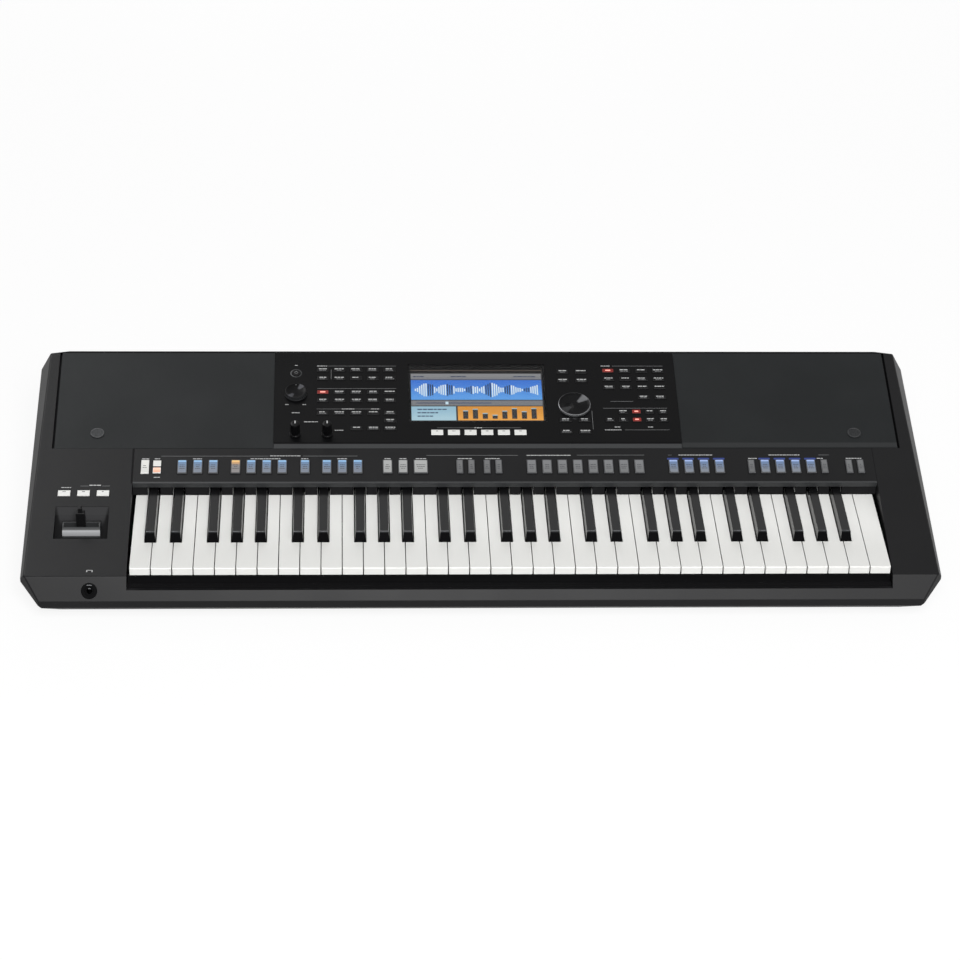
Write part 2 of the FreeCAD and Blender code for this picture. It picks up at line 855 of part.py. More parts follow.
def knob(x, v, radius, height, engage):
    foot = control_rise + knob_float
    body = Part.makeCone(radius, radius - knob_draft, height, Vec(x, v, foot))
    body = body.makeFillet(knob_round, top_edges(body, foot + height))
    bore = rod(x, v, spindle_radius + running_gap, foot - cut_over, foot + engage + fit_gap)
    return on_panel(body.cut(bore))


def dial(x, v):
    foot = control_rise + knob_float
    body = rod(x, v, dial_radius, foot, foot + dial_height)
    body = body.makeFillet(knob_round, top_edges(body, foot + dial_height))
    ball_radius = (dial_dimple_radius ** 2 + dial_dimple_depth ** 2) / (2 * dial_dimple_depth)
    ball_level = foot + dial_height - dial_dimple_depth + ball_radius
    dimple = Part.makeSphere(ball_radius, Vec(x - dial_dimple_reach, v, ball_level))
    bore = rod(x, v, spindle_radius + running_gap, foot - cut_over, foot + dial_spindle_engage + fit_gap)
    return on_panel(body.cut([dimple, bore]))


volume_spot, live_left_spot, live_right_spot, dial_spot = knob_spots
save("volume_knob", [knob(*volume_spot, volume_radius, volume_height, volume_spindle_engage)])
save("live_knob_left", [knob(*live_left_spot, live_radius, live_height, spindle_engage)])
save("live_knob_right", [knob(*live_right_spot, live_radius, live_height, spindle_engage)])
save("data_dial", [dial(*dial_spot)])
engages = [volume_spindle_engage, spindle_engage, spindle_engage, dial_spindle_engage]
save("knob_spindles", [pot(x, v, engage) for (x, v), engage in zip(knob_spots, engages)])

power_foot = -panel_thickness - fit_gap - button_flange_thickness
power_cap = rod(*power_spot, power_radius, power_foot, control_rise + power_rise)
power_cap = power_cap.makeFillet(button_round, top_edges(power_cap, control_rise + power_rise))
power_flange = rod(*power_spot, power_radius + button_flange, power_foot, -panel_thickness - fit_gap)
save("power_button", [on_panel(power_cap.fuse(power_flange))])

# Joystick: a barrel that rocks about X in the tray, and a lever that tilts in the barrel's slot
barrel_x0 = joystick_place - barrel_length / 2
barrel_x1 = joystick_place + barrel_length / 2
tray_half = joystick_half + tray_skin
tray_block = panel_box(joystick_place - tray_half, joystick_place + tray_half, joystick_front - tray_skin,
                       joystick_back, -wall - tray_depth, -wall)


def across(radius, x0, x1, v, w):
    return Part.makeCylinder(radius, x1 - x0, Vec(x0, v, w), Vec(1, 0, 0))


def along(radius, x, v0, v1, w):
    return Part.makeCylinder(radius, v1 - v0, Vec(x, v0, w), Vec(0, 1, 0))


pin_x0 = barrel_x0 - barrel_pin_length
pin_x1 = barrel_x1 + barrel_pin_length
barrel_room = on_panel(across(barrel_radius + barrel_side_gap, barrel_x0 - barrel_side_gap,
                              barrel_x1 + barrel_side_gap, barrel_row, -barrel_drop))
pin_room = on_panel(across(barrel_pin_radius + running_gap, pin_x0 - fit_gap, pin_x1 + fit_gap,
                           barrel_row, -barrel_drop))
save("joystick_tray", [tray_block.cut([joystick_recess(), barrel_room, pin_room])])

slot_half = lever_thickness / 2 + lever_side_gap
slot = box(joystick_place - lever_slot_length / 2, joystick_place + lever_slot_length / 2,
           barrel_row - slot_half, barrel_row + slot_half, -barrel_drop - lever_slot_depth, cut_over)
lever_pin_v0 = barrel_row - slot_half - lever_pin_length
lever_pin_v1 = barrel_row + slot_half + lever_pin_length
lever_pin_room = along(lever_pin_radius + running_gap, joystick_place, lever_pin_v0 - fit_gap,
                       lever_pin_v1 + fit_gap, -barrel_drop)
barrel = joined([across(barrel_radius, barrel_x0, barrel_x1, barrel_row, -barrel_drop),
                 across(barrel_pin_radius, pin_x0, pin_x1, barrel_row, -barrel_drop)])
save("joystick_barrel", [on_panel(barrel.cut([slot, lever_pin_room]))])

lever = box(joystick_place - lever_width / 2, joystick_place + lever_width / 2,
            barrel_row - lever_thickness / 2, barrel_row + lever_thickness / 2,
            -barrel_drop - lever_foot, lever_rise)
lever = lever.makeFillet(lever_round, top_edges(lever, lever_rise))
tip = box(joystick_place - lever_tip_width / 2, joystick_place + lever_tip_width / 2,
          barrel_row - lever_tip_width / 2, barrel_row + lever_tip_width / 2, 0, lever_tip_rise)
tip = tip.makeFillet(lever_round, top_edges(tip, lever_tip_rise))
lever_pin = along(lever_pin_radius, joystick_place, lever_pin_v0, lever_pin_v1, -barrel_drop)
save("joystick_lever", [on_panel(lever.fuse([tip, lever_pin]))])

# Speakers, hung under the baffles
woofer_basket_profile = [
    (woofer_seat_radius, baffle_under),
    (woofer_rim_radius, baffle_under),
    (woofer_rim_radius, baffle_under - woofer_rim),
    (woofer_seat_radius, baffle_under - woofer_rim),
    (woofer_base_radius, baffle_under - woofer_depth),
    (coil_radius, baffle_under - woofer_depth),
    (coil_radius, baffle_under - woofer_depth + woofer_skin),
    (woofer_base_radius - woofer_skin, baffle_under - woofer_depth + woofer_skin),
    (woofer_hole_radius, baffle_under - woofer_seat),
    (woofer_seat_radius, baffle_under - woofer_seat),
]
cone_edge = woofer_seat_radius - fit_gap
cone_foot = baffle_under - woofer_seat - cone_depth
woofer_cone_profile = [
    (0, cone_foot),
    (coil_radius, cone_foot),
    (cone_edge_radius, baffle_under - woofer_seat),
    (cone_edge, baffle_under - woofer_seat),
    (cone_edge, baffle_under - fit_gap),
    (cone_edge_radius, baffle_under - fit_gap),
    (dust_cap_radius, cone_foot + cone_skin + cone_skin),
    (0, cone_foot + cone_skin + dust_cap_rise),
]
tweeter_profile = [
    (0, baffle_under + tweeter_dome_rise),
    (tweeter_dome_radius, baffle_under),
    (tweeter_rim_radius, baffle_under),
    (tweeter_rim_radius, baffle_under - tweeter_rim),
    (tweeter_body_radius, baffle_under - tweeter_rim),
    (tweeter_body_radius, baffle_under - tweeter_depth),
    (0, baffle_under - tweeter_depth),
]
woofer_spots = [(side * woofer_place, woofer_v) for side in (-1, 1)]
magnet_top = baffle_under - woofer_depth
save("woofer_baskets", [panel_spun(x, v, woofer_basket_profile) for x, v in woofer_spots])
save("woofer_cones", [panel_spun(x, v, woofer_cone_profile) for x, v in woofer_spots])
save("woofer_magnets", [panel_rod(x, v, magnet_radius, magnet_top - magnet_thickness, magnet_top)
                        for x, v in woofer_spots])
save("tweeters", [panel_spun(side * tweeter_place, woofer_v, tweeter_profile) for side in (-1, 1)])

# Keys. Each black key's place is the count of white keys at its left in the octave, and a shift.
black_place_counts = {"c_sharp": 1, "d_sharp": 2, "f_sharp": 4, "g_sharp": 5, "a_sharp": 6}
black_shifts = {
    "c_sharp": -outer_black_shift,
    "d_sharp": outer_black_shift,
    "f_sharp": -wide_black_shift,
    "g_sharp": 0,
    "a_sharp": wide_black_shift,
}
black_places = {name: count * key_pitch + black_shifts[name] for name, count in black_place_counts.items()}
white_names = ["c", "d", "e", "f", "g", "a", "b"]
key_left = key_offset - key_span / 2
octave_span = 7 * key_pitch
slot_half_width = black_key_width / 2 + black_slot_gap
black_middles = list(black_places.values())
tail_y = pivot_y + key_tail
hub_y = tail_y - key_hub_length


def tail_limits(step, is_last):
    left = step * key_pitch + key_gap / 2
    right = left + key_pitch - key_gap
    for middle in black_middles:
        if left < middle - slot_half_width < right and not is_last:
            right = middle - slot_half_width
        if left < middle + slot_half_width < right:
            left = middle + slot_half_width
    return left, right


def rod_bore(x0, x1):
    start = Vec(x0 - cut_over, pivot_y, pivot_z)
    return Part.makeCylinder(pivot_rod_radius + running_gap, x1 - x0 + 2 * cut_over, start, Vec(1, 0, 0))


def key_leg(middle):
    return box(middle - key_leg_width / 2, middle + key_leg_width / 2, key_front_y + key_leg_reach,
               key_front_y + key_leg_reach + key_leg_length,
               key_under_z - key_leg_drop, key_top_height - key_skin)


def hub_reliefs(left, right):
    low = key_under_z - cut_over
    high = key_top_height + cut_over
    return [
        box(left - cut_over, left + key_hub_relief, hub_y, tail_y + cut_over, low, high),
        box(right - key_hub_relief, right + cut_over, hub_y, tail_y + cut_over, low, high),
    ]


def white_key(origin, step, is_last):
    left, right = tail_limits(step, is_last)
    head_left = origin + step * key_pitch + key_gap / 2
    head_right = head_left + key_pitch - key_gap
    tail_left = origin + left
    tail_right = origin + right
    head_end = key_front_y + white_head_length
    head = box(head_left, head_right, key_front_y, head_end, key_under_z, key_top_height)
    tail = box(tail_left, tail_right, head_end - key_skin, tail_y, key_under_z, key_top_height)
    key = joined([head, tail])
    front = [e for e in key.Edges if abs(e.CenterOfMass.y - key_front_y) < key_skin * small_share
             and e.CenterOfMass.z > key_under_z + key_skin]
    key = key.makeFillet(key_edge_round, front)
    under = key_under_z - cut_over
    ceiling = key_top_height - key_skin
    hollows = [
        box(head_left + key_skin, head_right - key_skin, key_front_y + key_skin, head_end - key_skin,
            under, ceiling),
        box(tail_left + key_skin, tail_right - key_skin, head_end - 2 * key_skin, hub_y - key_skin,
            under, ceiling),
    ]
    key = key.cut(hollows).fuse(key_leg((tail_left + tail_right) / 2))
    return key.cut(hub_reliefs(tail_left, tail_right) + [rod_bore(tail_left, tail_right)])


def black_key(middle):
    front = key_front_y + white_head_length + black_slot_gap
    left = middle - black_key_width / 2
    right = middle + black_key_width / 2
    bar = box(left, right, front, tail_y, key_under_z, key_top_height)
    bar = bar.cut(box(left + key_skin, right - key_skin, front + key_skin, hub_y - key_skin,
                      key_under_z - cut_over, key_top_height - key_skin))
    cap_end = key_front_y + key_visible_length + black_key_hidden_length
    corners = []
    for z, width, start in ((key_top_height, black_key_width, front),
                            (black_key_top, black_key_top_width, front + black_key_slant)):
        half = width / 2
        ring = [Vec(middle - half, start, z), Vec(middle + half, start, z), Vec(middle + half, cap_end, z),
                Vec(middle - half, cap_end, z)]
        corners.append(Part.makePolygon(ring + ring[:1]))
    cap = Part.makeLoft(corners, True, True)
    cap = cap.makeFillet(key_edge_round, top_edges(cap, black_key_top))
    key = joined([bar, cap, key_leg(middle)])
    return key.cut(hub_reliefs(left, right) + [rod_bore(left, right)])


key_middles = []
for step, name in enumerate(white_names):
    origins = [key_left + octave * octave_span for octave in range(octave_count)]
    keys = [white_key(origin, step, False) for origin in origins]
    left, right = tail_limits(step, False)
    key_middles += [origin + (left + right) / 2 for origin in origins]
    if step == 0:
        last_origin = key_left + octave_count * octave_span
        keys.append(white_key(last_origin, step, True))
        key_middles.append(last_origin + key_pitch / 2)
    save("keys_" + name, keys)
all_black_middles = []
for name, place in black_places.items():
    middles = [key_left + octave * octave_span + place for octave in range(octave_count)]
    key_middles += middles
    all_black_middles += middles
    save("keys_" + name, [black_key(middle) for middle in middles])

# Felt dust guard over the back ends of the keys: teeth between the black keys, on a bar behind the lip
guard_y = slope_y(strip_front) + guard_setback
guard_end = guard_y + guard_depth
guard_foot = key_top_height + guard_gap
guard_top = black_key_top + strip_lip_clearance - fit_gap
guard_left = strip_left + panel_ledge + fit_gap
guard_right = strip_right - panel_ledge - fit_gap
lip_back = strip_front + strip_lip_thickness
notch_half = black_key_width / 2 + guard_notch_gap
guard_notches = [
    box(middle - notch_half, middle + notch_half, guard_y - cut_over, guard_end + cut_over,
        key_top_height, guard_top)
    for middle in all_black_middles
]
guard_comb = joined([
    box(strip_left + fit_gap, strip_right - fit_gap, guard_y, guard_end, guard_foot, guard_top),
    box(guard_left, guard_right, guard_end - guard_thickness, guard_end, guard_foot, guard_top + guard_hook),
]).cut(guard_notches)
guard_bar = panel_box(guard_left, guard_right, lip_back, lip_back + guard_thickness,
                      -strip_lip_depth, -panel_thickness)
guard = joined([guard_comb, guard_bar])

# Key chassis: a long channel with lugs for the pivot rod
chassis_half = key_span / 2 + well_gap - chassis_end_gap
chassis_left = key_offset - chassis_half
chassis_right = key_offset + chassis_half
chassis_back = tail_y + key_hub_relief
board_front = key_front_y + key_leg_reach + key_leg_length / 2 - contact_board_width / 2


def chassis_rib(y, z0, z1):
    return box(chassis_left, chassis_right, y, y + chassis_plate, z0, z1)


chassis_top = chassis_height + chassis_plate
chassis_pieces = [
    box(chassis_left, chassis_right, key_front_y + chassis_front, chassis_back + chassis_plate,
        chassis_height, chassis_top),
    chassis_rib(key_front_y + chassis_web_reach, floor_z, chassis_top),
    chassis_rib(key_front_y + chassis_mid_web_reach, floor_z, chassis_top),
    chassis_rib(chassis_back, floor_z, key_top_height),
    chassis_rib(key_front_y + stop_felt_reach, chassis_height, stop_felt_height),
    chassis_rib(board_front, chassis_height, contact_board_height),
    chassis_rib(board_front + contact_board_width - chassis_plate, chassis_height, contact_board_height),
]
lug_middles = [key_left + octave * octave_span for octave in range(octave_count)]
lug_starts = [middle - pivot_lug_thickness / 2 for middle in lug_middles[1:]]
lug_starts += [chassis_left, chassis_right - pivot_lug_thickness]
for start in lug_starts:
    chassis_pieces.append(box(start, start + pivot_lug_thickness, pivot_y - pivot_lug_radius,
                              chassis_back + chassis_plate, chassis_height, pivot_z + pivot_lug_radius))
chassis = joined(chassis_pieces).cut(rod_bore(chassis_left, chassis_right))
save("key_chassis", [chassis])
save("key_pivot_rod", [Part.makeCylinder(pivot_rod_radius, chassis_right - chassis_left,
                                         Vec(chassis_left, pivot_y, pivot_z), Vec(1, 0, 0))])

leaf_top = key_under_z - leaf_gap
save("key_springs", [box(middle - leaf_width / 2, middle + leaf_width / 2, pivot_y - leaf_reach, chassis_back,
                         leaf_top - leaf_thickness, leaf_top) for middle in key_middles])
board_top = contact_board_height + contact_board_thickness
save("key_contact_board", [box(chassis_left, chassis_right, board_front, board_front + contact_board_width,
                               contact_board_height, board_top)])
dome_y = key_front_y + key_leg_reach + key_leg_length / 2
save("key_contact_domes", [Part.makeCone(contact_dome_radius, contact_dome_tip_radius, contact_dome_height,
                                         Vec(middle, dome_y, board_top)) for middle in key_middles])
felt_y = key_front_y + stop_felt_reach
stop_felt = box(chassis_left, chassis_right, felt_y, felt_y + stop_felt_width, stop_felt_height,
                stop_felt_height + stop_felt_thickness)
save("key_felts", [stop_felt, guard])
slip_y = key_front_y + slip_reach
save("key_slip", [box(strip_left + fit_gap, strip_right - fit_gap, slip_y, slip_y + slip_thickness,
                      chassis_top, slip_height)])

# Headphone socket in the front bevel: a wide mouth and a blind bore behind the case wall
jack_mouth = -headphone_sink
jack_bore_top = -wall - jack_entry_length
jack_foot = jack_bore_top - jack_bore_length - jack_back
jack_body = Part.makeCylinder(headphone_radius - fit_gap, jack_mouth - jack_foot, Vec(0, 0, jack_foot))
jack_entry = Part.makeCylinder(jack_entry_radius, cut_over - jack_bore_top, Vec(0, 0, jack_bore_top))
jack_bore_foot = jack_bore_top - jack_bore_length
jack_bore = Part.makeCylinder(jack_bore_radius, jack_bore_length + cut_over, Vec(0, 0, jack_bore_foot))
save("headphone_jack", [on_bevel(jack_body.cut([jack_entry, jack_bore]))])

# Rear socket panel with four jacks, a USB port and the power inlet
socket_outer_y = back_y - socket_panel_sink
socket_inner_y = back_y - wall
socket_back_y = socket_inner_y - socket_flange_thickness
panel_half_width = socket_panel_width / 2
panel_half_height = socket_panel_height / 2
usb_place = usb_inset - panel_half_width
dc_place = dc_inset - panel_half_width
jack_places = run(rear_jack_inset - panel_half_width, rear_jack_pitch, rear_jack_count)


def rearward(radius, x, y0, y1):
    return Part.makeCylinder(radius, y1 - y0, Vec(x, y0, socket_panel_level), Vec(0, 1, 0))


def rear_block(x, half_width, half_height, y0, y1):
    low = socket_panel_level - half_height
    high = socket_panel_level + half_height
    return box(x - half_width, x + half_width, y0, y1, low, high)


socket_plate = joined([
    rear_block(0, panel_half_width - fit_gap, panel_half_height - fit_gap, socket_back_y, socket_outer_y),
    rear_block(0, panel_half_width + socket_flange, panel_half_height + socket_flange,
               socket_back_y, socket_inner_y),
])
socket_holes = [rearward(jack_entry_radius, x, socket_back_y - cut_over, back_y) for x in jack_places]
socket_holes.append(rear_block(usb_place, usb_width / 2, usb_height / 2, socket_back_y - cut_over, back_y))
socket_holes.append(rearward(dc_entry_radius, dc_place, socket_back_y - cut_over, back_y))
save("rear_socket_panel", [socket_plate.cut(socket_holes)])

bore_y = socket_back_y - jack_entry_length


def rear_socket(x, radius, entry_radius, bore_radius, bore_length):
    body = rearward(radius, x, bore_y - bore_length - jack_back, socket_back_y)
    entry = rearward(entry_radius, x, bore_y, back_y)
    return body.cut([entry, rearward(bore_radius, x, bore_y - bore_length, back_y)])


save("rear_jacks", [rear_socket(x, rear_jack_radius, jack_entry_radius, jack_bore_radius, jack_bore_length)
                    for x in jack_places])

usb_half_width = usb_width / 2 - fit_gap
usb_half_height = usb_height / 2 - fit_gap
usb_shell = rear_block(usb_place, usb_half_width, usb_half_height, socket_outer_y - usb_depth, socket_outer_y)
usb_room = rear_block(usb_place, usb_half_width - usb_skin, usb_half_height - usb_skin,
                      socket_outer_y - usb_depth + usb_skin, back_y)
dc_inlet = rear_socket(dc_place, dc_radius, dc_entry_radius, dc_bore_radius, dc_bore_length)
save("rear_ports", [usb_shell.cut(usb_room), dc_inlet])
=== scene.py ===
import math
import random

import bmesh
import bpy
from mathutils import Matrix, Vector


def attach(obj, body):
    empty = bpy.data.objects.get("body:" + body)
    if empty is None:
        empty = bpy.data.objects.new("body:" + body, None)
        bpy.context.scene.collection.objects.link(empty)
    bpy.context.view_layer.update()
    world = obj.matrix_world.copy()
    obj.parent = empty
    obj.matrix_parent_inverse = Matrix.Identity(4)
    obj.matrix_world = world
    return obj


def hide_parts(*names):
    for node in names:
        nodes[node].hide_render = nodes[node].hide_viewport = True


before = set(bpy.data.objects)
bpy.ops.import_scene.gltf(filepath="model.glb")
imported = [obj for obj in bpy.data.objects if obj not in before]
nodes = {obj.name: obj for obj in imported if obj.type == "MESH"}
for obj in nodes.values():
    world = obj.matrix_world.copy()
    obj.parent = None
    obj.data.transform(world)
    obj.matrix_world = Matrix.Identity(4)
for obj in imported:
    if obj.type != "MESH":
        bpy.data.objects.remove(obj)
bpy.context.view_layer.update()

mm = 0.001
topFace = {"slope": 13.0, "frontY": -184.524, "frontZ": 58.421, "strip": 141.63, "panel": 197.03, "panelRise": 1.8,
           "stripButtons": 25.3}
slope = math.radians(topFace["slope"])
toTop = (Matrix.Translation((0, topFace["frontY"] * mm, topFace["frontZ"] * mm))
         @ Matrix.Rotation(slope, 4, "X") @ Matrix.Scale(mm, 4))  # sloping top in mm to the frame in metres
stripV = topFace["strip"]
buttonV = stripV + topFace["stripButtons"]
panelV = topFace["panel"]
panelW = topFace["panelRise"]
contrast = (0.3, 0.7)  # stretches a noise to its full range


def tone(red, green, blue):  # screen levels to linear light
    def linear(value):
        value /= 255
        return value / 12.92 if value <= 0.04045 else ((value + 0.055) / 1.055) ** 2.4
    return (linear(red), linear(green), linear(blue), 1)


def darker(colour, by):
    return tone(*[level - by for level in colour])


def operated(operation, swapped=False):
    def method(self, *others):
        parts = (*others, self) if swapped else (self, *others)
        return self.graph.node("ShaderNodeMath", {"operation": operation}, dict(enumerate(parts)))
    return method


class Wire:
    __add__, __radd__ = operated("ADD"), operated("ADD", True)
    __sub__, __rsub__ = operated("SUBTRACT"), operated("SUBTRACT", True)
    __mul__, __rmul__ = operated("MULTIPLY"), operated("MULTIPLY", True)
    __truediv__, __gt__ = operated("DIVIDE"), operated("GREATER_THAN")
    sine, root, size, larger = (operated(name) for name in ("SINE", "SQRT", "ABSOLUTE", "MAXIMUM"))

    def __init__(self, graph, socket):
        self.graph = graph
        self.socket = socket

    def step(self, low, high):  # 0 below low, 1 above high, smooth between
        return self.graph.node("ShaderNodeMapRange", {"interpolation_type": "SMOOTHSTEP"},
                               {0: self, 1: low, 2: high, 3: 0.0, 4: 1.0})

    def within(self, low, high, soft):  # 1 between low and high, 0 outside
        return self.step(low - soft, low + soft) - self.step(high - soft, high + soft)


class Graph:
    def __init__(self, tree):
        self.tree = tree

    def feed(self, socket, value):
        if isinstance(value, Wire):
            self.tree.links.new(value.socket, socket)
        else:
            socket.default_value = value

    def node(self, kind, settings=None, inputs=None, output=0):
        made = self.tree.nodes.new(kind)
        for name, value in (settings or {}).items():
            setattr(made, name, value)
        for key, value in (inputs or {}).items():
            self.feed(made.inputs[key], value)
        return Wire(self, made.outputs[output])

    def seen(self):  # 1 for what is looked at straight, in a gloss or through glass, 0 for spread light
        eye, gloss, glass = (self.node("ShaderNodeLightPath", output=f"Is {kind} Ray")
                             for kind in ("Camera", "Glossy", "Transmission"))
        return eye.larger(gloss).larger(glass)


class Look(Graph):
    def __init__(self, name):
        self.material = bpy.data.materials.new(name)
        self.material.use_nodes = True
        super().__init__(self.material.node_tree)
        self.shader = self.tree.nodes["Principled BSDF"]
        self.spot = self.node("ShaderNodeTexCoord", output="Object")

    def axes(self):  # x, y and z in mm
        return [self.node("ShaderNodeSeparateXYZ", inputs={0: self.spot}, output=i) * 1000 for i in range(3)]

    def upSlope(self):  # mm up the sloping top, as v in the part's source
        x, y, z = self.axes()
        return (y - topFace["frontY"]) * math.cos(slope) + (z - topFace["frontZ"]) * math.sin(slope)

    def offSlope(self):  # mm out of the sloping top, as w in the part's source
        x, y, z = self.axes()
        return (z - topFace["frontZ"]) * math.cos(slope) - (y - topFace["frontY"]) * math.sin(slope)

    def noise(self, scale, detail=2.0, stretch=(1, 1, 1)):
        place = self.spot
        if stretch != (1, 1, 1):
            place = self.node("ShaderNodeMapping", inputs={"Vector": self.spot, "Scale": stretch})
        return self.node("ShaderNodeTexNoise", inputs={"Vector": place, "Scale": scale, "Detail": detail})

    def mix(self, first, second, share):
        return self.node("ShaderNodeMix", {"data_type": "RGBA"}, {0: share, 6: first, 7: second}, output=2)

    def bump(self, height, strength, distance):
        return self.node("ShaderNodeBump", inputs={"Height": height, "Strength": strength, "Distance": distance})

    def fed(self, name):
        return Wire(self, self.shader.inputs[name].links[0].from_socket)

    def paint(self, **sockets):
        for name, value in sockets.items():
            self.feed(self.shader.inputs[name.replace("_", " ")], value)

    def cover(self, shader):
        self.feed(self.tree.nodes["Material Output"].inputs["Surface"], shader)


def finish(dark, light, rough, shine, grain=2600, mottle=14, roughSpread=0.12, bump=0.12, bumpDepth=0.00006):
    return {"dark": dark, "light": light, "rough": rough, "shine": shine, "grain": grain, "mottle": mottle,
            "roughSpread": roughSpread, "bump": bump, "bumpDepth": bumpDepth}


def moulded(name, settings):  # plastic, rubber or felt with a fine grain
    look = Look(name)
    fine = look.noise(settings["grain"], 3.0)
    broad = look.noise(settings["mottle"], 2.0)
    shade = broad * 0.7 + fine.step(*contrast) * 0.3
    look.paint(Base_Color=look.mix(tone(*settings["dark"]), tone(*settings["light"]), shade),
               Roughness=broad * settings["roughSpread"] + settings["rough"],
               Normal=look.bump(fine, settings["bump"], settings["bumpDepth"]),
               Specular_IOR_Level=settings["shine"])
    return look


finishes = {
    "lowerGrey": finish((17, 17, 18), (23, 23, 24), 0.48, 0.11, bump=0.3),
    # pale grey of the painted highlight along the strip's front edge
    "edgeHighlightGrey": finish((52, 53, 54), (60, 61, 62), 0.4, 0.15),
    "blackRubber": finish((20, 20, 21), (27, 27, 28), 0.7, 0.2, bump=0.4),
    "slipBlack": finish((16, 16, 17), (21, 21, 22), 0.6, 0.06, bump=0.3),
    "socketBlack": finish((10, 10, 11), (15, 15, 16), 0.34, 0.16),
    "knobBlack": finish((6, 6, 7), (10, 10, 11), 0.3, 0.12, bump=0.15),
    "leverBlack": finish((9, 9, 10), (14, 14, 15), 0.45, 0.16, bump=0.3),
    "jackBlack": finish((5, 5, 6), (8, 8, 9), 0.4, 0.02, bump=0.2),
    "whiteCap": finish((205, 205, 202), (222, 222, 219), 0.35, 0.4, grain=1200),
    "blackCap": finish((12, 12, 13), (17, 17, 18), 0.32, 0.12),
    "lensCap": finish((58, 59, 61), (68, 69, 71), 0.35, 0.4),
    "chassisBlack": finish((14, 14, 15), (19, 19, 20), 0.6, 0.05),
    "feltGrey": finish((24, 24, 25), (33, 33, 34), 0.95, 0.03, grain=5200, bump=0.9, bumpDepth=0.0003),
    "domeRubber": finish((138, 140, 142), (156, 158, 160), 0.7, 0.3),
    "tweeterBlack": finish((20, 20, 22), (30, 30, 32), 0.4, 0.4),
    "basketBlack": finish((30, 31, 33), (40, 41, 43), 0.5, 0.4),
}
looks = {name: moulded(name, settings) for name, settings in finishes.items()}

# lip: a paler tone painted on the strip's front lip as a highlight
stripMaking = {"face": finish((17, 17, 18), (23, 23, 24), 0.34, 0.13, bump=0.15), "lip": (50, 51, 52),
               "lipEnd": (stripV + 0.2, stripV + 0.6)}


def stripLook(settings):  # satin face; the lip over the keys painted paler, a painted highlight on the strip's own grey
    look = moulded("stripGrey", settings["face"])
    # mask of the painted highlight on the lip
    lip = 1 - look.upSlope().step(*settings["lipEnd"])
    look.paint(Base_Color=look.mix(look.fed("Base Color"), tone(*settings["lip"]), lip))
    return look


looks["stripGrey"] = stripLook(stripMaking)

# tone: painted light up the joystick's ramp; cornerShade widens the painted shade in its corners with depth
joystickWell = {"x": -447.82, "half": 30, "cornerShade": 0.7, "sides": (-0.5, 2.5), "ramp": (80, 94), "rim": (-0.3, -0.1),
                "tone": (46, 46, 47)}


def rampLightAndShade(look, settings):  # painted light up the middle of the joystick's ramp, paler than the case's grey; the corners keep the darker base as painted shade, widening with depth; not over the top
    out = look.offSlope()
    unshaded = settings["half"] - (look.axes()[0] - settings["x"]).size() + out * settings["cornerShade"]
    share = unshaded.step(*settings["sides"]) * look.upSlope().step(*settings["ramp"])
    return look.mix(look.fed("Base Color"), tone(*settings["tone"]), share * (1 - out.step(*settings["rim"])))


# the well's near-black face stands in for its shade
trayMaking = {"face": finish((9, 9, 10), (13, 13, 14), 0.42, 0.08, bump=0.2)}


def trayLook(settings):  # near-black well as painted shade, with painted light up its ramp
    look = moulded("trayGrey", settings["face"])
    look.paint(Base_Color=rampLightAndShade(look, joystickWell))
    return look


looks["trayGrey"] = trayLook(trayMaking)

# jointShade: painted shade down the gaps beside the grilles and in a dark line painted along their backs
caseMaking = {"face": finish((17, 17, 18), (23, 23, 24), 0.34, 0.13, bump=0.2), "jointShade": (4, 4, 5),
              "sideJoint": {"across": (485.3, 487.9, 0.2), "up": (198, 356.5, 0.5), "out": (-2.3, -0.2, 0.1)},
              "backJoint": {"across": (236.5, 486.5, 0.5), "up": (355.5, 356.9, 0.2), "out": (-0.3, -0.2)}}


def caseLook(settings):  # satin grey, with painted shade in the joints round the grilles, and the joystick ramp's painted light and shade
    look = moulded("caseGrey", settings["face"])
    across, up, out = look.axes()[0].size(), look.upSlope(), look.offSlope()
    side, back = settings["sideJoint"], settings["backJoint"]
    sides = across.within(*side["across"]) * up.within(*side["up"]) * out.within(*side["out"])
    backs = across.within(*back["across"]) * up.within(*back["up"]) * out.step(*back["out"])
    shadedJoints = sides.larger(backs)
    look.paint(Base_Color=look.mix(rampLightAndShade(look, joystickWell), tone(*settings["jointShade"]), shadedJoints),
               Metallic=shadedJoints)  # sheen painted out of the joints too, part of their painted shade
    return look


looks["caseGrey"] = caseLook(caseMaking)

# frontShade and side are painted shade over the keys' own white
whiteKeyMaking = {"face": finish((238, 238, 235), (244, 244, 241), 0.27, 0.5, grain=700, mottle=9, bump=0.03),
                  "frontShade": (210, 210, 207), "fade": (-165, -55), "share": 0.85,
                  "side": (196, 196, 193), "topEdge": (69.4, 70.6)}


def whiteKeyLook(settings):  # white, with painted shade greying the front of the tops, and the sides and front faces below the top edge
    look = moulded("whiteKey", settings["face"])
    x, y, z = look.axes()
    frontShade = (1 - y.step(*settings["fade"])) * settings["share"]
    face = look.mix(look.fed("Base Color"), tone(*settings["frontShade"]), frontShade)
    look.paint(Base_Color=look.mix(tone(*settings["side"]), face, z.step(*settings["topEdge"])))
    return look


looks["whiteKey"] = whiteKeyLook(whiteKeyMaking)

